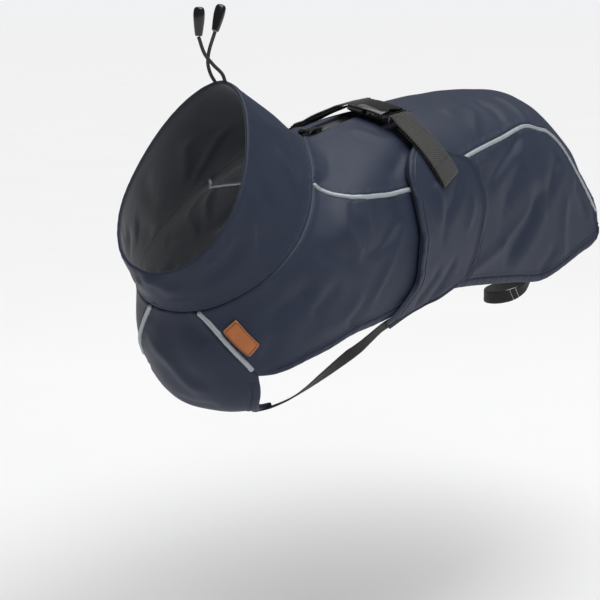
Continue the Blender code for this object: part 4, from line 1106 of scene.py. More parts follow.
def panel_wall(name, panel, lift, materials, used=None, closed=False, thickness=CLOTH_WALL, shut=None,
               base=0.0):
    """A panel's wall: its outer face at base, raised by its creases and lift; it closes where shut is 0."""
    creased = relief(points_at(panel.places)) + base
    nearest = np.minimum(np.minimum(panel.first, panel.last), np.minimum(panel.front, panel.rear))
    draw_in = closing(nearest if shut is None else shut, thickness)
    outer = points_at(panel.places, creased + lift - draw_in)
    inner = points_at(panel.places, creased - thickness - 0.35 * np.maximum(lift, 0.0) + draw_in)
    cloth_map = np.stack([panel.front, panel.first], axis=-1)
    return wall(name, outer, inner, materials, cloth_map, used, closed)


def stitch_line(places, lift, pitch=2.7 * MM, start=0.0, stop=0.0):
    """Points, runs and outs for stitches a pitch apart along dense places on the creased form."""
    creased = creased_at(places, lift)
    reach = lengths_along(creased)
    first, last = start, reach[-1] - stop
    at = np.linspace(first, last, max(2, int(round((last - first) / pitch))))
    points = read(at, reach, creased)
    return points, unit(np.gradient(points, axis=0)), read(at, reach, outs_at(places))


def inset(panel, side, distance):
    """Dense places a real distance inside one side of a panel: its first, last, front or rear."""
    gaps, places = getattr(panel, side), panel.places
    if side in ("front", "rear"):
        gaps, places = gaps.T, places.swapaxes(0, 1)
    orders = np.argsort(gaps, axis=1)
    return np.array([read(distance, gap[order], row[order]) for order, gap, row in zip(orders, gaps, places)])


def edge_line(panel, side, inward, lift, start=0.0, stop=0.0, some=slice(None)):
    """Stitches inside one side of a panel, over some of its rows: their lift and the ends left free in mm."""
    return stitch_line(inset(panel, side, inward)[some], lift * MM, start=start * MM, stop=stop * MM)


def sew(name, lines, slot, size=THREAD, finish="navy_thread"):
    """Stitches along lines, put on the coat's body; the slot argument is not used."""
    return rides(repeated(name, "stitch", lines, size, finish_for(finish)), slot)


def cross_tack(points, aside, out, half, count, lift):
    """A row of stitches across a strap at one of its places, half a width to each side."""
    at = points + aside * np.linspace(-half, half, count)[:, None] + out * lift
    return at, np.tile(aside, (count, 1)), np.tile(out, (count, 1))


def navy_set(outside="navy_shell"):
    """The cloth's two materials: outside and inside."""
    return [finish_for(outside), finish_for("navy_inside")]


def make_collar():
    """The stand-up collar: a tube of doubled cloth from its rim to the seam."""
    angles = np.linspace(-180.0, 180.0, 205)[:-1]
    dense = np.linspace(0.0, COLLAR_END, 161)
    grid = np.stack(np.meshgrid(dense, angles, indexing="ij"), axis=-1).swapaxes(0, 1)
    last = np.concatenate([EDGE_MARKS, np.array((3.1, 3.7, 4.3, 5.0, 6.0)) * MM])
    first = np.concatenate([EDGE_MARKS, np.array((3.6, 5.0)) * MM])
    places, rim, seam = (group.swapaxes(0, 1) for group in lay_out(grid, first, last))
    around = lengths_along(points_at(places))
    ends = smooth(np.minimum(around, around[:, -1:] - around) / (14 * MM))
    lift = 0.35 * MM * bell(rim, 3.5 * MM, 3 * MM)
    lift += seam_edge(seam) - 0.4 * MM * bell(seam, COLLAR_STITCH, 0.8 * MM)
    lift += ends * (gathers(around, seam, 1.0, 0.3 * MM) + gathers(around, rim, 2.6, 0.16 * MM))
    panel = Panel(places, rim, seam, around, around, None)
    collar = panel_wall("collar_cloth", panel, lift, navy_set("navy_collar"), closed=True,
                        thickness=COLLAR_WALL, shut=np.minimum(rim, seam))
    line = [read(COLLAR_STITCH, seam[::-1, k], places[::-1, k]) for k in range(len(angles))]
    line = np.vstack([line, line[0] + (0.0, 360.0)])
    stitches = sew("collar_stitches", [stitch_line(line, 0.0)], "navy_collar")
    rides(collar, "navy_collar", "collar")


def make_back():
    """The back between its pipings, with the zip's slit open at the collar seam."""
    left = rail(back_rows(), TRIM)
    centre = rail(np.array([(row.middle, 0.0) for row in SIDE_ROWS]))

    def row_places(shares, across, ends):
        """Places across the back between two shares of its width, -1 left to 1 right."""
        edge, middle = left(shares), centre(shares)[:, 0]
        slit = slit_angle(middle, SLIT_HALF)
        start = edge[:, 1] if ends[0] < 0 and ends[1] < 0 else -slit
        stop = -slit if ends[1] < 0 else slit
        if ends[0] > 0:
            start, stop = slit, -edge[:, 1]
        angles = start[:, None] + (stop - start)[:, None] * across
        share = (angles / edge[:, 1:2]) ** 2
        stations = middle[:, None] + (edge[:, :1] - middle[:, None]) * share
        return np.stack([stations, angles], axis=-1)

    line = row_places(DENSE_ALONG, np.array([0.5]), (-1, -1))[:, 0]
    shares = steps_along(line, EDGE_MARKS, HEM_MARKS)
    welt = np.array((0.0, 0.12, 0.35, 0.7, 1.1, 1.6, 2.2, 2.8, 3.4, 4.2, 5.2)) * MM
    parts = [lay_out(row_places(shares, DENSE_ACROSS, (-1, -1)), EDGE_MARKS, welt, 2.3 * MM),
             lay_out(row_places(shares, DENSE_ACROSS, (-1, 1)), NO_MARKS, NO_MARKS, 2.3 * MM),
             lay_out(row_places(shares, DENSE_ACROSS, (1, 1)), welt, EDGE_MARKS, 2.3 * MM)]
    places = np.concatenate([parts[0][0][:, :-1], parts[1][0][:, :-1], parts[2][0]], axis=1)
    points = points_at(places)
    reach = lengths_along(points)
    front = lengths_along(points.swapaxes(0, 1)).T
    start, stop = parts[0][0].shape[1] - 1, parts[0][0].shape[1] + parts[1][0].shape[1] - 2
    slit_gap = np.minimum(np.abs(reach - reach[:, start:start + 1]), np.abs(reach - reach[:, stop:stop + 1]))
    last_row = int(np.argmin(np.abs(shares - SLIT_ROWS / (len(SIDE_ROWS) - 1))))
    rows, columns = places.shape[:2]
    past = np.maximum(front - front[last_row], 0.0)
    slit_gap = np.hypot(slit_gap, past)
    inside = (np.arange(columns) >= start) & (np.arange(columns) <= stop)
    slit_gap = np.where(inside[None, :], past, slit_gap)
    used = np.ones((rows - 1, columns - 1), dtype=bool)
    used[:last_row, start:stop] = False
    panel = Panel(places, reach, reach[:, -1:] - reach, front, front[-1:] - front, shares)
    sides = np.minimum(panel.first, panel.last)
    lift = seam_edge(sides) + seam_edge(front) + hem(panel.rear)
    lift += hem(slit_gap, 4.6 * MM, WELT_STITCH) * 0.8
    lift += gathers(front, sides, 0.7) + gathers(reach, front, 1.9) + gathers(reach, panel.rear, 4.0)
    shut = np.minimum(np.minimum(sides, slit_gap), np.minimum(front, panel.rear))
    back = panel_wall("back_cloth", panel, lift, navy_set(), used=used, shut=shut)
    welts = []
    for sign in (-1, 1):
        stations = centre(shares[:last_row + 1])[:, 0]
        turn = slit_angle(stations, SLIT_HALF + WELT_STITCH)
        welts.append(stitch_line(np.stack([stations, sign * turn], axis=-1), 0.1 * MM, start=2 * MM))
    hems = edge_line(panel, "rear", HEM_STITCH, 0.2, 3, 3)
    seams = edge_line(panel, "front", COLLAR_STITCH, 0.1, 4, 4)
    keep = np.abs(seams[0][:, 1]) > SLIT_HALF + 4 * MM
    seams = tuple(group[keep] for group in seams)
    stitches = sew("back_stitches", [*welts, hems, seams], "navy_shell")
    rides(back, "navy_shell", "back_panel")


def chest_trim(rows):
    """How far each row of an edge draws back for the chest piping, which ends at the corner."""
    trim = np.where(np.arange(len(rows)) < CORNER, TRIM, 0.0)
    trim[CORNER] = CORNER_LAP
    return trim


def make_side(side, word):
    """One side panel, from the back piping down to the chest piping, leg opening and hem."""
    mirror = (1, -side)
    top = rail(back_rows() * mirror, TRIM, side * 120.0)
    low = rail(low_rows() * mirror, chest_trim(SIDE_ROWS), side * 60.0, corner=CORNER)
    panel = make_panel(between(top, low), (EDGE_MARKS, HEM_MARKS), (EDGE_MARKS, HEM_MARKS))
    rows = panel.run[:, None] * (len(SIDE_ROWS) - 1)
    hemmed = smooth((rows - CHEST_ROWS + 0.9) / 0.5)
    lift = seam_edge(panel.first) + seam_edge(panel.front)
    lift += hemmed * hem(panel.last) + (1 - hemmed) * seam_edge(panel.last) + hem(panel.rear)
    seed = 0.4 if side < 0 else 5.1
    lift += gathers(panel.front, panel.first, seed) + gathers(panel.front, panel.last, seed + 2)
    cloth = panel_wall(f"side_cloth_{word}", panel, lift, navy_set())
    lines = [edge_line(panel, "last", HEM_STITCH, 0.15, stop=6, some=rows[:, 0] > CHEST_ROWS - 0.75),
             edge_line(panel, "rear", HEM_STITCH, 0.15, 3, 7),
             edge_line(panel, "front", COLLAR_STITCH, 0.1, 4, 4)]
    stitches = sew(f"side_stitches_{word}", lines, "navy_shell")
    rides(cloth, "navy_shell", f"side_panel_{word}")


def make_bib():
    """The chest bib, which narrows to pass between the forelegs."""
    chest = [(row.low_station, row.low_angle) for row in SIDE_ROWS[:CHEST_ROWS]]
    edge_rows = np.array(chest + [(row.edge_station, row.edge_angle) for row in BIB_ROWS])
    centre_rows = np.array([(row[0], 0.0) for row in chest] + [(row.middle, 0.0) for row in BIB_ROWS])
    edge = rail(edge_rows, chest_trim(edge_rows), 180.0, corner=CORNER)
    centre = rail(centre_rows)

    def row_places(shares, across):
        """Places across the bib, from its right edge round to its left one."""
        spread = 2 * across[None, :] - 1
        side, middle = edge(shares), centre(shares)[:, :1]
        stations = middle + (side[:, :1] - middle) * spread**2
        return np.stack([stations, 180.0 + spread * (180.0 - side[:, 1:2])], axis=-1)

    panel = make_panel(row_places, (EDGE_MARKS, HEM_MARKS), (HEM_MARKS, HEM_MARKS))
    rows = panel.run[:, None] * (len(edge_rows) - 1)
    hemmed = smooth((rows - CHEST_ROWS + 0.9) / 0.5)
    sides = np.minimum(panel.first, panel.last)
    lift = seam_edge(panel.front) + hem(panel.rear) + hemmed * hem(sides) + (1 - hemmed) * seam_edge(sides)
    lift += gathers(panel.front, sides, 3.3) + gathers(panel.first, panel.front, 0.2)
    lift -= 0.4 * MM * bell(panel.front, COLLAR_STITCH, 0.8 * MM)
    bib = panel_wall("bib_cloth", panel, lift, navy_set())
    opened = rows[:, 0] > CHEST_ROWS - 0.75
    lines = [edge_line(panel, side, HEM_STITCH, 0.15, stop=7, some=opened) for side in ("first", "last")]
    lines.append(edge_line(panel, "rear", HEM_STITCH, 0.15, 7, 7))
    lines.append(edge_line(panel, "front", COLLAR_STITCH, 0.0, 4, 4))
    stitches = sew("bib_stitches", lines, "navy_shell")
    rides(bib, "navy_shell", "chest_bib")


def make_wing(side, word):
    """A wing, drawn over the side panel from under the webbing to the belly strap."""
    edges = []
    for edge in ("front", "rear"):
        rows = [(getattr(row, edge + "_station"), side * getattr(row, edge + "_angle")) for row in WING_ROWS]
        edges.append(rail(np.array(rows), at_seam=False))
    panel = make_panel(between(*edges), (EDGE_MARKS, EDGE_MARKS), (HEM_MARKS, HEM_MARKS), 2.0 * MM)
    sides = np.minimum(panel.first, panel.last)
    lift = 0.8 * hem(sides) + gathers(panel.front, panel.first, 1.2, 0.4 * MM)
    flush = smooth((np.abs(panel.places[..., 1]) - WING_FLUSH[0]) / WING_FLUSH[1])
    lift -= WING_SINK * flush * bell(panel.last, 0.0, 13 * MM)
    lift += gathers(panel.front, panel.last, 2.9, 0.3 * MM)
    for place, width, height in WING_GAPS:
        gap = bell(np.abs(panel.places[:, :1, 1]), place, width) * bell(panel.first, 0.0, 9 * MM)
        lift += height * MM * gap
    base = WING_LIFT + CLOTH_WALL
    wing = panel_wall(f"wing_cloth_{word}", panel, lift, navy_set(), base=base)
    lines = [edge_line(panel, edge, inward, base / MM + 0.1, 8, 8) for edge, inward in
             (("first", HEM_STITCH), ("first", HEM_STITCH + 1.8 * MM), ("last", HEM_STITCH))]
    stitches = sew(f"wing_stitches_{word}", lines, "navy_shell")
    rides(wing, "navy_shell", f"wing_{word}")


# Trim ----

def make_pipings(side, word):
    """The back piping, from the collar seam to the rear hem, and the short one down the chest."""
    for name, rows in (("back_piping", back_rows()), ("chest_piping", low_rows()[:CHEST_ROWS])):
        rows = rows * (1, -side)
        rows[0] += PIPING_START * (rows[1] - rows[0])
        last = len(rows) - 1 - (PIPING_END if name == "chest_piping" else 0.0)
        places = glide(rows, np.linspace(0, last, 40 * len(rows)))
        points, outs, run = evenly(creased_at(places, -PIPING_SINK), outs_at(places), 1.1 * MM)
        seed = len(name) + side
        swell = 1 + 0.045 * np.sin(run * 2 * pi / (6.2 * MM) + seed) * np.sin(run * 2 * pi / (23 * MM))
        drawn = PIPING_RADIUS * swell * np.clip(run / MM * 0.9 + 0.35, 0, 1)
        _, aside, face = strap_frames(points, outs)
        turns = turns_of(16)[None, :, None]
        spokes = aside[:, None] * np.cos(turns) + face[:, None] * np.sin(turns)
        rings = points[:, None] + drawn[:, None, None] * spokes
        piping = sweep(f"{name}_cord_{word}", rings, [finish_for("grey_piping")])
        rides(piping, "grey_piping", f"{name}_{word}")


def strap_rings(points, outs, width, wall_thickness, ribs=0, rib_height=0.0, columns=33):
    """Rings of a flat strap with rounded sides and lengthwise ribs on both faces."""
    _, aside, face = strap_frames(points, outs)
    across = np.linspace(-0.5, 0.5, columns)
    body = 1 - np.abs(2 * across) ** 14
    relief_across = rib_height * np.cos(across * 2 * pi * ribs) * body if ribs else 0.0
    height = 0.5 * wall_thickness * np.sqrt(np.clip(body, 0.04, 1)) + relief_across - rib_height
    offsets = np.concatenate([np.stack([across * width, height], axis=1),
                              np.stack([across[::-1] * width, -height[::-1]], axis=1)])
    return points[:, None] + aside[:, None] * offsets[None, :, :1] + face[:, None] * offsets[None, :, 1:]


def make_elastic(name, side, sewn, free, width, tacked):
    """Elastic pulled between two ends sewn to the cloth."""
    ends = []
    for places in sewn:
        stations, angles, lifts = np.array(places).T
        lifts = lifts * MM + relief(on_form(stations, side * angles))
        ends.append(np.hstack([on_form(stations, angles, lifts) / MM, outward(stations, angles)]))
    rows = smoothed(np.vstack([ends[0], free, ends[1]]), 24) * (1.0, side, 1.0, 1.0, side, 1.0)
    points, outs, run = evenly(rows[:, :3] * MM, rows[:, 3:], 1.6 * MM)
    ribs = int(round(width / (1.4 * MM)))
    rings = strap_rings(points, outs, width, STRAP_WALL, ribs, 0.1 * MM, 4 * ribs + 1)
    count = rings.shape[1]
    across = np.concatenate([np.linspace(0, width, count // 2), np.linspace(width, 0, count // 2)])
    cloth_map = np.stack(np.broadcast_arrays(run[:, None], across[None, :]), axis=-1)
    strap = sweep(f"{name}_elastic", rings, [finish_for("black_elastic")], cloth_map)
    rides(strap, "black_elastic", name)
    if not tacked:
        return
    _, aside, face = strap_frames(points, outs)
    tacks = []
    for place in TACK_PLACES:
        k = int(np.argmin(np.abs(run - place)))
        tacks.append(cross_tack(points[k], aside[k], face[k], 0.4 * width, 7, STRAP_WALL / 2 + 0.12 * MM))
    sew(f"{name}_tack", tacks, "black_elastic", (1.3 * MM, 0.4 * MM, 0.18 * MM), "white_thread")


def make_label():
    """A bare leather label, sewn on the left side panel along the chest piping."""
    top_rear, low_rear, low_front, top_front = [np.array(corner) * (1, -1) for corner in LABEL_CORNERS]
    sides = 80
    turns = turns_of(sides)
    waves = np.stack([np.cos(turns), np.sin(turns)], axis=-1)
    squared = np.sign(waves) * np.abs(waves) ** 0.17

    def at(plane, lift):
        """Points over the label's rectangle, -1 to 1 both ways."""
        s, t = ((plane + 1) / 2)[..., :1], ((plane + 1) / 2)[..., 1:]
        front = top_front + (low_front - top_front) * s
        rear = top_rear + (low_rear - top_rear) * s
        places = front + (rear - front) * t
        return creased_at(places, lift), outs_at(places)

    low, high = SEAM_GAP + 0.5 * MM, SEAM_GAP + 0.5 * MM + LABEL_WALL
    profile = [(0.02, low), (0.5, low), (0.97, low), (0.99, low + 0.12 * MM), (1.0, low + 0.35 * MM),
               (1.0, high - 0.4 * MM), (0.99, high - 0.14 * MM), (0.972, high), (0.93, high + 0.04 * MM),
               (0.9, high - 0.02 * MM), (0.875, high - 0.2 * MM), (0.85, high - 0.02 * MM),
               (0.8, high + 0.04 * MM)]
    profile += [(share, high + 0.05 * MM) for share in (0.65, 0.5, 0.35, 0.2, 0.1, 0.02)]
    rings = np.array([at(squared * share, lift)[0] for share, lift in profile])
    label = sweep("label_leather", rings, [finish_for("tan_leather"), finish_for("leather_edge")])
    picks = np.zeros(len(label.data.polygons), dtype=np.int32)
    picks[:6 * sides] = 1
    label.data.polygons.foreach_set("material_index", picks)
    corners, outs = at(squared * 0.875, high + 0.02 * MM)
    closed = np.vstack([corners, corners[:1]]), np.vstack([outs, outs[:1]])
    points, outs, _ = evenly(*closed, 2.3 * MM)
    runs = unit(np.gradient(points, axis=0))
    sew("label_stitches", [(points[:-1], runs[:-1], outs[:-1])], "tan_leather",
        (1.7 * MM, 0.45 * MM, 0.2 * MM), "dark_thread")
    rides(label, "tan_leather", "label")


# Webbing and buckle ----

def buckle_matrix():
    """The buckle's place: its length along Y, tipped to lie on the back's slope."""
    stations = np.linspace(4.0, 5.4, 141)
    angles = np.linspace(0.0, -40.0, 161)
    grid = np.stack(np.meshgrid(stations, angles, indexing="ij"), axis=-1)
    points = on_form(grid[..., 0], grid[..., 1])
    nearest = np.argmin(np.hypot(points[..., 0] - BUCKLE_X, points[..., 1] - BUCKLE_Y))
    station, angle = grid.reshape(-1, 2)[nearest]
    base = points.reshape(-1, 3)[nearest]
    up = Vector(outward(station, angle))
    across = Vector((0.0, 1.0, 0.0)).cross(up).normalized()
    turn = Matrix((across, up.cross(across), up)).transposed().to_4x4()
    return Matrix.Translation(Vector(base) + up * (BUCKLE_LIFT + BUCKLE_TALL / 2)) @ turn


def make_webbing(side, word, route, bar_place):
    """Webbing from under its bar to its folded end on the wing, and back over the bar, with woven ribs."""
    buckle = buckle_matrix()
    under = WING_LIFT + CLOTH_WALL + SEAM_GAP + WEBBING_WALL / 2
    over = under + WEBBING_WALL + SEAM_GAP
    rows = smoothed(route, 12)
    stations, angles, extra = rows[:, 0], side * rows[:, 1], rows[:, 2] * MM
    creased = relief(on_form(stations, angles)) + extra
    lower = on_form(stations, angles, under + creased)
    upper = on_form(stations, angles, over + creased)
    outs = outward(stations, angles)
    run = unit(lower[0] - lower[1])
    middle = 0.5 * (lower[0] + upper[0])
    fold_turns = np.linspace(FOLD_START, pi - FOLD_START, 9)
    fold_outs = [run * sin(t) - outs[0] * cos(t) for t in fold_turns]
    fold = [middle + (over - under) / 2 * out for out in fold_outs]
    turn, centre = buckle.to_3x3(), np.array(buckle @ bar_place)
    wrap_turns = np.linspace(*WRAP_TURNS, 22)
    wrap_outs = [np.array(turn @ Vector((0.0, side * cos(t), sin(t)))) for t in wrap_turns]
    wrap = [centre + (BAR_RADIUS + SEAM_GAP + WEBBING_WALL / 2) * out for out in wrap_outs]
    points = np.vstack([lower[::-1], fold, upper, wrap])
    faces = np.vstack([-outs[::-1], fold_outs, outs, wrap_outs])
    points, faces, reach = evenly(points, faces, 1.4 * MM)
    core = strap_rings(points, faces, WEBBING_WIDTH - 0.4 * MM, WEBBING_WALL - 0.7 * MM, columns=21)
    strap = sweep(f"webbing_strap_{word}", core, [finish_for("black_elastic")])
    points, faces, reach = evenly(points, faces, RIB_PITCH)
    runs, aside, out = strap_frames(points, faces)
    cell = (WEBBING_WIDTH - 0.6 * MM) / RIB_CELLS
    places = []
    for column in range(RIB_CELLS):
        slide = (column - (RIB_CELLS - 1) / 2) * cell
        shift = runs * (RIB_PITCH * (0.25 if column % 2 else -0.25))
        at = points + aside * slide + shift + out * (WEBBING_WALL / 2 - 0.42 * MM)
        places.append((at, runs, out))
        if column in (0, RIB_CELLS - 1):
            edge = points + aside * (slide + np.sign(slide) * 0.42 * cell) + shift
            places.append((edge, runs, out))
    ribs = repeated(f"webbing_ribs_{word}", "pillow", places,
                    (RIB_PITCH * 0.86, cell * 0.92, 1.0 * MM), finish_for("black_webbing"), 4)
    rides(ribs, "black_webbing")
    rides(strap, "black_webbing", f"webbing_{word}")
    along = (reach > reach[-1] * 0.5 + 5 * MM) & (reach < reach[-1] * 0.5 + 7 * MM)
    k = int(np.flatnonzero(along)[0])
    tack = cross_tack(points[k], aside[k], out[k], 0.42 * WEBBING_WIDTH, 9, WEBBING_WALL / 2 + 0.15 * MM)
    sew(f"webbing_tack_{word}", [tack], "black_webbing", (2.0 * MM, 0.45 * MM, 0.2 * MM), "black_cord")


def solid(name, rings, material):
    """A closed solid over rings of points, as a working piece."""
    return sweep(name, np.asarray(rings, dtype=float), [material])


def slab(name, outline, low, high, material):
    """A flat slab of an outline, from low to high (mm)."""
    outline = np.array(outline) * MM
    mesh = bmesh.new()
    under, over = [[mesh.verts.new((x, y, height * MM)) for x, y in outline] for height in (low, high)]
    mesh.faces.new(over)
    mesh.faces.new(under[::-1])
    for k in range(len(outline)):
        mesh.faces.new([under[k - 1], under[k], over[k], over[k - 1]])
    bmesh.ops.recalc_face_normals(mesh, faces=mesh.faces)
    data = bpy.data.meshes.new(name)
    mesh.to_mesh(data)
    mesh.free()
    data.materials.append(material)
    return in_scene(name, data)


def rounded(corners, radius, steps=5):
    """An outline of corners (x, y), each rounded by a radius."""
    corners = [Vector(corner) for corner in corners]
    outline = []
    for k, corner in enumerate(corners):
        before, after = corners[k - 1], corners[(k + 1) % len(corners)]
        one, two = (before - corner).normalized(), (after - corner).normalized()
        reach = min(radius, 0.45 * (before - corner).length, 0.45 * (after - corner).length)
        start, stop = corner + one * reach, corner + two * reach
        for t in np.linspace(0, 1, steps):
            outline.append(tuple(start * (1 - t) ** 2 + corner * 2 * t * (1 - t) + stop * t**2))
    return outline


def mirrored(half):
    """An outline from its half below the X axis."""
    return half + [(x, -y) for x, y in half[::-1]]


def block(half_width, low, high):
    """The outline of a rectangle, from low to high along Y."""
    return [(-half_width, low), (half_width, low), (half_width, high), (-half_width, high)]


def disc(radius, x, y, sides):
    """The outline of a circle."""
    return [(x + radius * cos(t), y + radius * sin(t)) for t in turns_of(sides)]


def rod(name, radius, half_length, y, z, material):
    """A round bar along X."""
    return solid(name, [[(x, y + radius * cos(t), z + radius * sin(t)) for t in turns_of(20)]
                        for x in np.linspace(-half_length, half_length, 7)], material)


def crosswise_rod(name, radius, half_length, z, material, steps=4):
    """A round bar along Y."""
    return solid(name, [[(radius * cos(t), y, z + radius * sin(t)) for t in turns_of(20)]
                        for y in np.linspace(-half_length, half_length, steps)], material)


def work(body, tools, bevel, matrix):
    """Cut and join tools to a body, round its sharp edges, and put its place in its mesh."""
    for tool, operation in tools:
        modifier = body.modifiers.new(tool.name, "BOOLEAN")
        modifier.operation, modifier.object, modifier.solver = operation, tool, "EXACT"
    modifier = body.modifiers.new("rounded", "BEVEL")
    modifier.width, modifier.segments, modifier.limit_method = bevel, 2, "ANGLE"
    modifier.angle_limit = 0.6
    modifier.use_clamp_overlap = True
    mesh = bpy.data.meshes.new_from_object(body.evaluated_get(bpy.context.evaluated_depsgraph_get()))
    body.modifiers.clear()
    mesh.transform(matrix)
    mesh.shade_smooth()
    old, body.data = body.data, mesh
    mesh.name = body.name
    bpy.data.meshes.remove(old)
    for tool, _ in tools:
        bpy.data.objects.remove(tool, do_unlink=True)
    mesh.set_sharp_from_angle(angle=0.7)


def shell_rings(rows):
    """Rings across X for a domed shell: rows of y, half width, top and bottom (mm)."""
    across, up = np.cos(turns_of(72)), np.sin(turns_of(72))
    rings = []
    for y, half_width, top, bottom in rows:
        x = half_width * np.sign(across) * np.abs(across) ** (2 / SHELL_POWER)
        low = -bottom * np.abs(up) ** (2 / SHELL_POWER)
        z = np.where(up >= 0, top * np.abs(up) ** (2 / SHELL_CROWN), low)
        rings.append(np.column_stack([x, np.full(72, y), z]) * MM)
    return rings


SOCKET_ROWS = np.array((
    (-11.5, 15.7, 3.3, 3.3), (-11.35, 16.05, 3.65, 3.65), (-10.9, 16.3, 3.9, 3.85), (-9.5, 16.45, 4.1, 3.95),
    (-6.0, 16.5, 4.3, 4.0), (-2.0, 16.5, 4.4, 4.0), (2.0, 16.5, 4.35, 4.0), (6.0, 16.45, 4.2, 4.0),
    (9.5, 16.4, 3.9, 3.9), (12.5, 16.3, 3.5, 3.7), (15.5, 16.2, 3.2, 3.5), (17.8, 16.0, 3.0, 3.3),
    (18.7, 15.6, 2.7, 3.0), (19.0, 15.2, 2.3, 2.6)))
PRONG = np.array((
    (10.5, -13.6), (10.4, -8.0), (10.7, -2.5), (11.8, 1.2), (13.4, 2.9), (15.2, 2.6), (16.6, 0.9),
    (17.2, -1.4), (16.9, -3.8), (15.6, -5.4), (14.5, -7.2), (14.1, -10.0), (14.2, -13.6)))


def make_buckle():
    """The fastened side-release buckle: a domed socket with side windows and a plug with spring prongs."""
    material = finish_for("black_plastic")
    matrix = buckle_matrix()
    body = solid("socket_shell", shell_rings(SOCKET_ROWS), material)
    tools = [(slab("tool_cavity", block(14.9, -13.6, 9.0), -2.6, 2.6, material), "DIFFERENCE"),
             (slab("tool_window", rounded(block(18.6, -6.2, 3.9), 1.4), -1.8, 1.8, material), "DIFFERENCE"),
             (slab("tool_slot", rounded(block(13.75, 11.2, 21.0), 1.2), -7.0, 7.0, material), "DIFFERENCE"),
             (slab("tool_notch", disc(14.0, 0.0, -23.8, 64), 0.0, 8.0, material), "DIFFERENCE"),
             (rod("tool_bar", BAR_RADIUS, 15.0 * MM, SOCKET_BAR, 0.0, material), "UNION")]
    work(body, tools, 0.28 * MM, matrix)
    rides(body, "black_plastic", "buckle_socket")
    frame_outline = rounded([(-16.4, -11.8), (-16.4, -18.9), (16.4, -18.9), (16.4, -11.8)], 1.6)
    plug = slab("plug_frame", frame_outline, -2.9, 1.7, material)
    guide = rounded([(-2.4, -13.5), (2.4, -13.5), (2.0, 0.4), (-2.0, 0.4)], 0.9)
    tools = [(slab("tool_gap", rounded(block(13.75, -22.0, -13.2), 2.4), -7.0, 7.0, material), "DIFFERENCE"),
             (rod("tool_plug_bar", BAR_RADIUS, 15.0 * MM, PLUG_BAR, PLUG_DROP, material), "UNION"),
             (slab("tool_guide", guide, -1.5, 1.1, material), "UNION")]
    for sign in (-1, 1):
        prong = slab(f"tool_prong_{sign + 1}", smoothed(PRONG * (sign, 1), 4), -1.4, 1.4, material)
        tools.append((prong, "UNION"))
    work(plug, tools, 0.3 * MM, matrix)
    rides(plug, "black_plastic", "buckle_plug")


# Zip ----

def spine_place(x, lift):
    """A point over the spine at an x, and the slope there."""
    stations = np.linspace(SEAM, LAST_STATION, 8001)
    points = ring_point(stations, 0.0 * stations)
    nearest = np.argmin(np.abs(points[:, 0] - x))
    run = points[nearest + 1] - points[nearest - 1]
    return Vector((x, 0.0, points[nearest, 2] + lift)), np.arctan2(run[2], run[0])


def make_zip():
    """The closed zip: two coated tapes that meet over their coil."""
    middle = np.array([row.middle for row in SIDE_ROWS[:SLIT_ROWS + 1]])
    middle[0] = TAPE_START
    middle[-1] += TAPE_PAST
    stations = glide(middle[:, None], np.linspace(0, SLIT_ROWS, 120))[:, 0]
    reach = slit_angle(stations, TAPE_HALF)
    width = np.array((-12, -11.8, -10, -8, -6, -4.6, -3.6, -3.0, -2.4, -1.6, -1.0, -0.6, -0.35, -0.15, 0))
    width = np.concatenate([width, -width[-2::-1]])
    lift = 0.32 * bell(np.abs(width), 1.5, 1.3) - 0.75 * bell(width, 0.0, 0.3)
    lift = lift - 0.22 * bell(np.abs(width), 3.6, 0.5)
    angles = reach[:, None] * width[None, :] / 12.0
    grid = np.stack([np.broadcast_to(stations[:, None], angles.shape), angles], axis=-1)
    outer = points_at(grid, TAPE_LIFT + lift * MM)
    inner = points_at(grid, TAPE_LIFT - TAPE_WALL + 0.0 * angles)
    along = lengths_along(outer.swapaxes(0, 1)).T
    cloth_map = np.stack([along, np.broadcast_to(width * MM, angles.shape)], axis=-1)
    tape = wall("zip_tapes", outer, inner, [finish_for("zip_tape")] * 2, cloth_map)
    rides(tape, "zip_tape", "zip_tape")
    spine = np.stack([stations, 0.0 * stations], axis=-1)
    coil_line = points_at(spine, TAPE_LIFT - TAPE_WALL - 0.75 * MM)
    points, outs, _ = evenly(coil_line, outs_at(spine), 1.35 * MM)
    turns = [(points, unit(np.gradient(points, axis=0)), outs)]
    coil = repeated("zip_coil", "link", turns, (1.0, 4.6 * MM, 1.5 * MM), finish_for("black_plastic"), 2)
    rides(coil, "black_plastic")
    points, outs, _ = evenly(points_at(spine, TAPE_LIFT + 0.05 * MM), outs_at(spine), 1.6 * MM)
    runs = unit(np.gradient(points, axis=0))
    seams = [(points + (0.0, sign * 3.6 * MM, -0.06 * MM), runs, outs) for sign in (-1, 1)]
    sew("zip_stitches", seams, "zip_tape", (1.25 * MM, 0.35 * MM, 0.12 * MM), "black_cord")


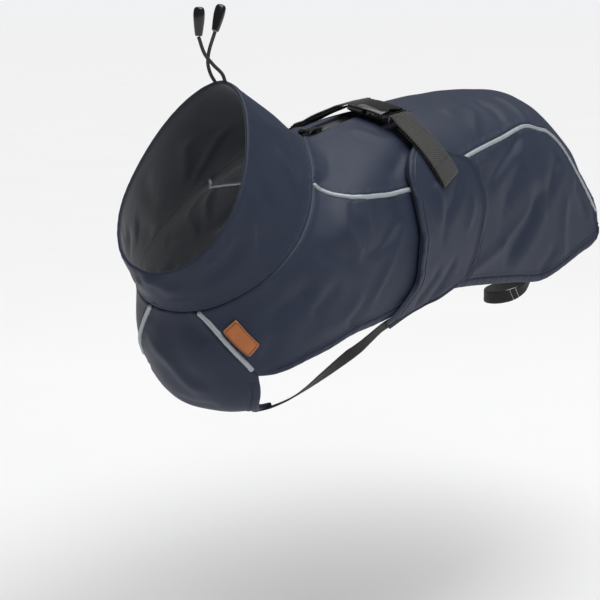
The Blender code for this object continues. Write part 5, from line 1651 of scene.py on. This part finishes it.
def make_slider():
    """The slider at the collar end of the zip and the pull tab hinged on its pin."""
    material = finish_for("black_metal")
    place, slope = spine_place(SLIDER_X, TAPE_LIFT + 2 * SEAM_GAP)
    matrix = Matrix.Translation(place) @ Matrix.Rotation(-slope, 4, "Y")
    outline = rounded(mirrored([(-6.0, -4.2), (-2.5, -4.3), (1.5, -3.3), (6.0, -2.9)]), 1.3)
    top = SLIDER_TALL / MM
    body = slab("slider_plate", outline, 0.0, top, material)
    tools = []
    for sign in (-1, 1):
        rib = [(-5.2, sign * 3.3), (-2.5, sign * 3.5), (1.5, sign * 2.7), (5.2, sign * 2.3),
               (5.2, sign * 2.9), (1.5, sign * 3.3), (-2.5, sign * 4.2), (-5.2, sign * 4.1)]
        tools.append((slab(f"tool_lip_{sign + 1}", rib, top - 0.3, top + 0.35, material), "UNION"))
        cheek = [(-2.5, -0.5), (-2.3, 1.6), (-1.3, 3.0), (0.0, 3.35), (1.3, 3.0), (2.3, 1.6), (2.5, -0.5)]
        wing = slab(f"tool_cheek_{sign + 1}", cheek, *sorted((sign * 2.3, sign * 3.5)), material)
        wing.data.transform(Matrix.Translation((0, 0, SLIDER_TALL)) @ Matrix.Rotation(pi / 2, 4, "X"))
        tools.append((wing, "UNION"))
    pin_z = SLIDER_TALL + PIN_TALL
    tools.append((crosswise_rod("tool_pin", PIN_RADIUS, 2.9 * MM, pin_z, material, 5), "UNION"))
    work(body, tools, 0.18 * MM, matrix)
    rides(body, "black_metal", "zip_slider")
    hinge = matrix @ Vector((0, 0, pin_z))
    tab_half = [(-1.75, -1.95), (4.6, -1.95), (6.0, -3.2), (9.0, -3.65), (17.5, -3.65), (21.9, -2.6)]
    half = TAB_WALL / 2 / MM
    tab = slab("pull_tab_blade", rounded(mirrored(tab_half), 2.4), -half, half, material)
    well = rounded(mirrored([(7.5, -2.3), (14.6, -2.3)]), 1.6)
    tools = [(crosswise_rod("tool_eye", 1.8 * MM, 2.0 * MM, 0.0, material), "UNION"),
             (crosswise_rod("tool_bore", 1.0 * MM, 5 * MM, 0.0, material), "DIFFERENCE"),
             (slab("tool_hole", disc(1.5, 18.3, 0.0, 28), -3, 3, material), "DIFFERENCE"),
             (slab("tool_well", well, half - 0.3, 3, material), "DIFFERENCE")]
    resting = spine_place(hinge.x + TAB_LENGTH, TAPE_LIFT + 2 * SEAM_GAP + TAB_WALL / 2)[0]
    rise = np.arctan2(resting.z - hinge.z, TAB_LENGTH)
    work(tab, tools, 0.22 * MM, Matrix.Translation(hinge) @ Matrix.Rotation(-rise, 4, "Y"))
    rides(tab, "black_metal", "zip_pull_tab", body="pull_tab")


# Drawcord ----

# A cord end's shape: shares of its length and of its radius.
CORD_ENDS_PROFILE = (
    (0.0, 0.30), (0.0, 0.52), (0.015, 0.62), (0.05, 0.66), (0.12, 0.72), (0.3, 0.84), (0.5, 0.95),
    (0.68, 1.0), (0.82, 0.98), (0.91, 0.9), (0.965, 0.74), (0.99, 0.5), (1.0, 0.2))


def make_drawcord(side, word):
    """One free end of the collar's drawcord, braided, with its moulded end."""
    along = form_frame(np.array(0.0), np.array(side * CORD_ANGLE))[0]
    mouth = on_form(0.0, side * CORD_ANGLE, -COLLAR_WALL / 2) - unit(along) * CORD_CLEAR
    knots = np.vstack([mouth / MM, CORD_ROUTES[word]])
    route = glide(knots, np.linspace(0, len(knots) - 1, 160)) * MM
    reach = lengths_along(route)
    length = float(reach[-1])
    run = np.linspace(0, length, 200)
    points = read(run, reach, route)
    sides = 24
    turns, run = turns_of(sides), run[:, None]
    braid = np.cos(6 * turns + run * 2 * pi / (3.2 * MM)) * np.cos(6 * turns - run * 2 * pi / (3.2 * MM))
    radius = CORD_DIAMETER / 2 * (0.93 + 0.07 * np.abs(braid) ** 0.5)
    cord = sweep(f"drawcord_braid_{word}", cord_rings(points, radius, sides), [finish_for("black_cord")])
    foot, top = Vector(route[-1]), Vector(CORD_TIPS[word]) * MM
    axis = (top - foot).normalized()
    foot = foot + axis * 2 * SEAM_GAP
    turns = turns_of(32)
    rings = []
    for height, fatness in smoothed(CORD_ENDS_PROFILE, 4):
        spread, rise = fatness * CORD_END_RADIUS, height * CORD_END_LENGTH
        rings.append([(spread * cos(t), spread * sin(t), rise) for t in turns])
    cap = solid(f"cord_cap_{word}", rings, finish_for("black_plastic"))
    cap.data.transform(Matrix.Translation(foot) @ axis.to_track_quat("Z", "Y").to_matrix().to_4x4())
    rides(cap, "black_plastic", f"drawcord_end_{word}")
    rides(cord, "black_cord", f"drawcord_{word}")


# Stage ----

def add_light(name, place, target, size, power):
    """A soft square light aimed at a target."""
    data = bpy.data.lights.new(name, "AREA")
    data.energy, data.shape, data.size = power, "SQUARE", size
    lamp = in_scene(name, data)
    lamp.location = place
    lamp.rotation_euler = (Vector(target) - Vector(place)).to_track_quat("-Z", "Y").to_euler()


def make_stage(looks):
    """The camera, the floor, the world's light and the lamps."""
    scene = bpy.context.scene
    data = bpy.data.cameras.new("camera")
    data.lens, data.sensor_width, data.clip_end = looks.lens, 36.0, 1500.0
    camera = in_scene("camera", data)
    camera.location = CAMERA_EYE
    camera.rotation_euler = (CAMERA_AIM - CAMERA_EYE).to_track_quat("-Z", "Y").to_euler()
    scene.camera = camera
    rings = np.array([[(r * cos(t), r * sin(t), looks.floor_height) for t in turns_of(96)]
                      for r in (0.02, 1.0, 400.0)])
    side = np.arange(96)
    quads = [np.stack([k * 96 + side, (k + 1) * 96 + side, (k + 1) * 96 + (side + 1) % 96,
                       k * 96 + (side + 1) % 96], axis=1) for k in (0, 1)]
    hub = np.array([(0.0, 0.0, looks.floor_height)])
    middle = np.stack([side, (side + 1) % 96, np.full(96, 3 * 96)], axis=1)
    points = np.concatenate([rings.reshape(-1, 3), hub])
    data = bpy.data.meshes.new("floor")
    data.from_pydata(points.tolist(), [], [f for group in (*quads, middle) for f in group.tolist()])
    data.materials.append(finish_for("pale_floor"))
    floor = in_scene("floor", data)
    world = bpy.data.worlds.new("studio")
    world.use_nodes = True
    nodes = Tree(world.node_tree)
    seen = nodes.node("ShaderNodeLightPath")
    back = world.node_tree.nodes["Background"]
    back.inputs["Color"].default_value = (0.97, 0.98, 1.0, 1.0)
    strength = seen * (WHITE_BACKDROP - looks.world_light) + looks.world_light
    world.node_tree.links.new(strength.socket, back.inputs["Strength"])
    scene.world = world
    scene.view_settings.view_transform = "Standard"
    sun = bpy.data.lights.new("overhead", "SUN")
    sun.energy, sun.angle = looks.sun_light, 1.2
    lamp = in_scene("overhead", sun)
    lamp.rotation_euler = Vector((-0.15, 0.25, -1.0)).to_track_quat("-Z", "Y").to_euler()
    aim = (-0.02, 0.0, -0.1)
    add_light("key", (-0.25, -0.85, 0.95), aim, 0.55, looks.key_light)
    add_light("back", (0.65, 0.65, 0.95), aim, 0.6, 0.8 * looks.key_light)


# The add-on ---------------------------------------------------------------------------------------

class CoatLooks(bpy.types.PropertyGroup):
    """Sizes and colours of the coat's looks."""

    shell_colour: FloatVectorProperty(name="Shell colour", description="The shell cloth's colour",
                                      default=(0.022, 0.029, 0.052), subtype="COLOR", min=0.0, max=1.0)
    piping_colour: FloatVectorProperty(name="Piping colour", description="The reflective piping's colour",
                                       default=(0.40, 0.44, 0.47), subtype="COLOR", min=0.0, max=1.0)
    leather_colour: FloatVectorProperty(name="Leather colour", description="The label's colour",
                                        default=(0.50, 0.155, 0.034), subtype="COLOR", min=0.0, max=1.0)
    lens: FloatProperty(name="Lens", description="The camera's focal length", default=90.23,
                        subtype="DISTANCE_CAMERA")
    floor_height: FloatProperty(name="Floor", description="The floor's height under the coat", default=-0.405,
                                unit="LENGTH")
    world_light: FloatProperty(name="World light", description="The strength of the light all round",
                               default=0.12)
    sun_light: FloatProperty(name="Overhead light", description="The overhead light's strength", default=3.3)
    key_light: FloatProperty(name="Key light", description="The main lamp's power", default=1.3, unit="POWER")


SIDES = ((-1, "left"), (1, "right"))   # the wearer's


class CoatOperator:
    """What the coat's operators share."""

    bl_options = {"REGISTER", "UNDO"}


class COAT_OT_stage(CoatOperator, bpy.types.Operator):
    """Set up the camera, the pale floor and the soft studio light"""

    bl_idname = "coat.stage"
    bl_label = "Stage"

    def execute(self, context):
        make_stage(context.scene.coat_looks)
        return {"FINISHED"}


class COAT_OT_drawcords(CoatOperator, bpy.types.Operator):
    """Make both free ends of the collar's drawcord with their moulded ends"""

    bl_idname = "coat.drawcords"
    bl_label = "Drawcords"

    def execute(self, context):
        for side, word in SIDES:
            make_drawcord(side, word)
        return {"FINISHED"}


class COAT_OT_collar(CoatOperator, bpy.types.Operator):
    """Make the stand-up collar and its stitches"""

    bl_idname = "coat.collar"
    bl_label = "Collar"

    def execute(self, context):
        make_collar()
        return {"FINISHED"}


class COAT_OT_back(CoatOperator, bpy.types.Operator):
    """Make the back panel with the zip's slit and its stitches"""

    bl_idname = "coat.back"
    bl_label = "Back"

    def execute(self, context):
        make_back()
        return {"FINISHED"}


class COAT_OT_sides(CoatOperator, bpy.types.Operator):
    """Make both side panels with their hems"""

    bl_idname = "coat.sides"
    bl_label = "Side panels"

    def execute(self, context):
        for side, word in SIDES:
            make_side(side, word)
        return {"FINISHED"}


class COAT_OT_bib(CoatOperator, bpy.types.Operator):
    """Make the chest bib with its hems"""

    bl_idname = "coat.bib"
    bl_label = "Chest bib"

    def execute(self, context):
        make_bib()
        return {"FINISHED"}


class COAT_OT_wings(CoatOperator, bpy.types.Operator):
    """Make both wings that are drawn over the side panels"""

    bl_idname = "coat.wings"
    bl_label = "Wings"

    def execute(self, context):
        for side, word in SIDES:
            make_wing(side, word)
        return {"FINISHED"}


class COAT_OT_pipings(CoatOperator, bpy.types.Operator):
    """Make the reflective pipings in the seams"""

    bl_idname = "coat.pipings"
    bl_label = "Pipings"

    def execute(self, context):
        for side, word in SIDES:
            make_pipings(side, word)
        return {"FINISHED"}


class COAT_OT_elastics(CoatOperator, bpy.types.Operator):
    """Make the belly straps and the leg loops"""

    bl_idname = "coat.elastics"
    bl_label = "Elastics"

    def execute(self, context):
        for side, word in SIDES:
            make_elastic(f"belly_strap_{word}", side, BELLY_STRAP_SEWN, BELLY_STRAP_FREE, STRAP_WIDTH, False)
            make_elastic(f"leg_loop_{word}", side, LOOP_SEWN, LOOP_FREE, LOOP_WIDTH, True)
        return {"FINISHED"}


class COAT_OT_label(CoatOperator, bpy.types.Operator):
    """Make the bare leather label and its stitches"""

    bl_idname = "coat.label"
    bl_label = "Label"

    def execute(self, context):
        make_label()
        return {"FINISHED"}


class COAT_OT_webbings(CoatOperator, bpy.types.Operator):
    """Make both webbings with their woven ribs"""

    bl_idname = "coat.webbings"
    bl_label = "Webbings"

    def execute(self, context):
        make_webbing(-1, "left", WEBBING_LEFT, Vector((0, PLUG_BAR, PLUG_DROP)))
        make_webbing(1, "right", WEBBING_RIGHT, Vector((0, SOCKET_BAR, 0)))
        return {"FINISHED"}


class COAT_OT_buckle(CoatOperator, bpy.types.Operator):
    """Make the fastened side-release buckle"""

    bl_idname = "coat.buckle"
    bl_label = "Buckle"

    def execute(self, context):
        make_buckle()
        return {"FINISHED"}


class COAT_OT_zip(CoatOperator, bpy.types.Operator):
    """Make the zip's tapes, coil, slider and pull tab"""

    bl_idname = "coat.zip"
    bl_label = "Zip"

    def execute(self, context):
        make_zip()
        make_slider()
        return {"FINISHED"}


OPERATORS = (COAT_OT_stage, COAT_OT_drawcords, COAT_OT_collar, COAT_OT_back, COAT_OT_sides, COAT_OT_bib,
             COAT_OT_wings, COAT_OT_pipings, COAT_OT_elastics, COAT_OT_label, COAT_OT_webbings,
             COAT_OT_buckle, COAT_OT_zip)


class COAT_PT_looks(bpy.types.Panel):
    """The coat's sizes, colours and pieces in the sidebar"""

    bl_idname = "COAT_PT_looks"
    bl_label = "Dog coat"
    bl_space_type = "VIEW_3D"
    bl_region_type = "UI"
    bl_category = "Dog coat"

    def draw(self, context):
        for name in CoatLooks.__annotations__:
            self.layout.prop(context.scene.coat_looks, name)
        for made in OPERATORS:
            self.layout.operator(made.bl_idname)


CLASSES = (CoatLooks, *OPERATORS, COAT_PT_looks)


def register():
    """Register the add-on's classes and its sizes and colours."""
    for made in CLASSES:
        bpy.utils.register_class(made)
    bpy.types.Scene.coat_looks = PointerProperty(type=CoatLooks)


def unregister():
    """Remove what register added."""
    del bpy.types.Scene.coat_looks
    for made in reversed(CLASSES):
        bpy.utils.unregister_class(made)


def main():
    """Register the add-on, then make every piece in order."""
    register()
    for made in OPERATORS:
        getattr(bpy.ops.coat, made.bl_idname.split(".")[1])()


if __name__ == "__main__":
    main()
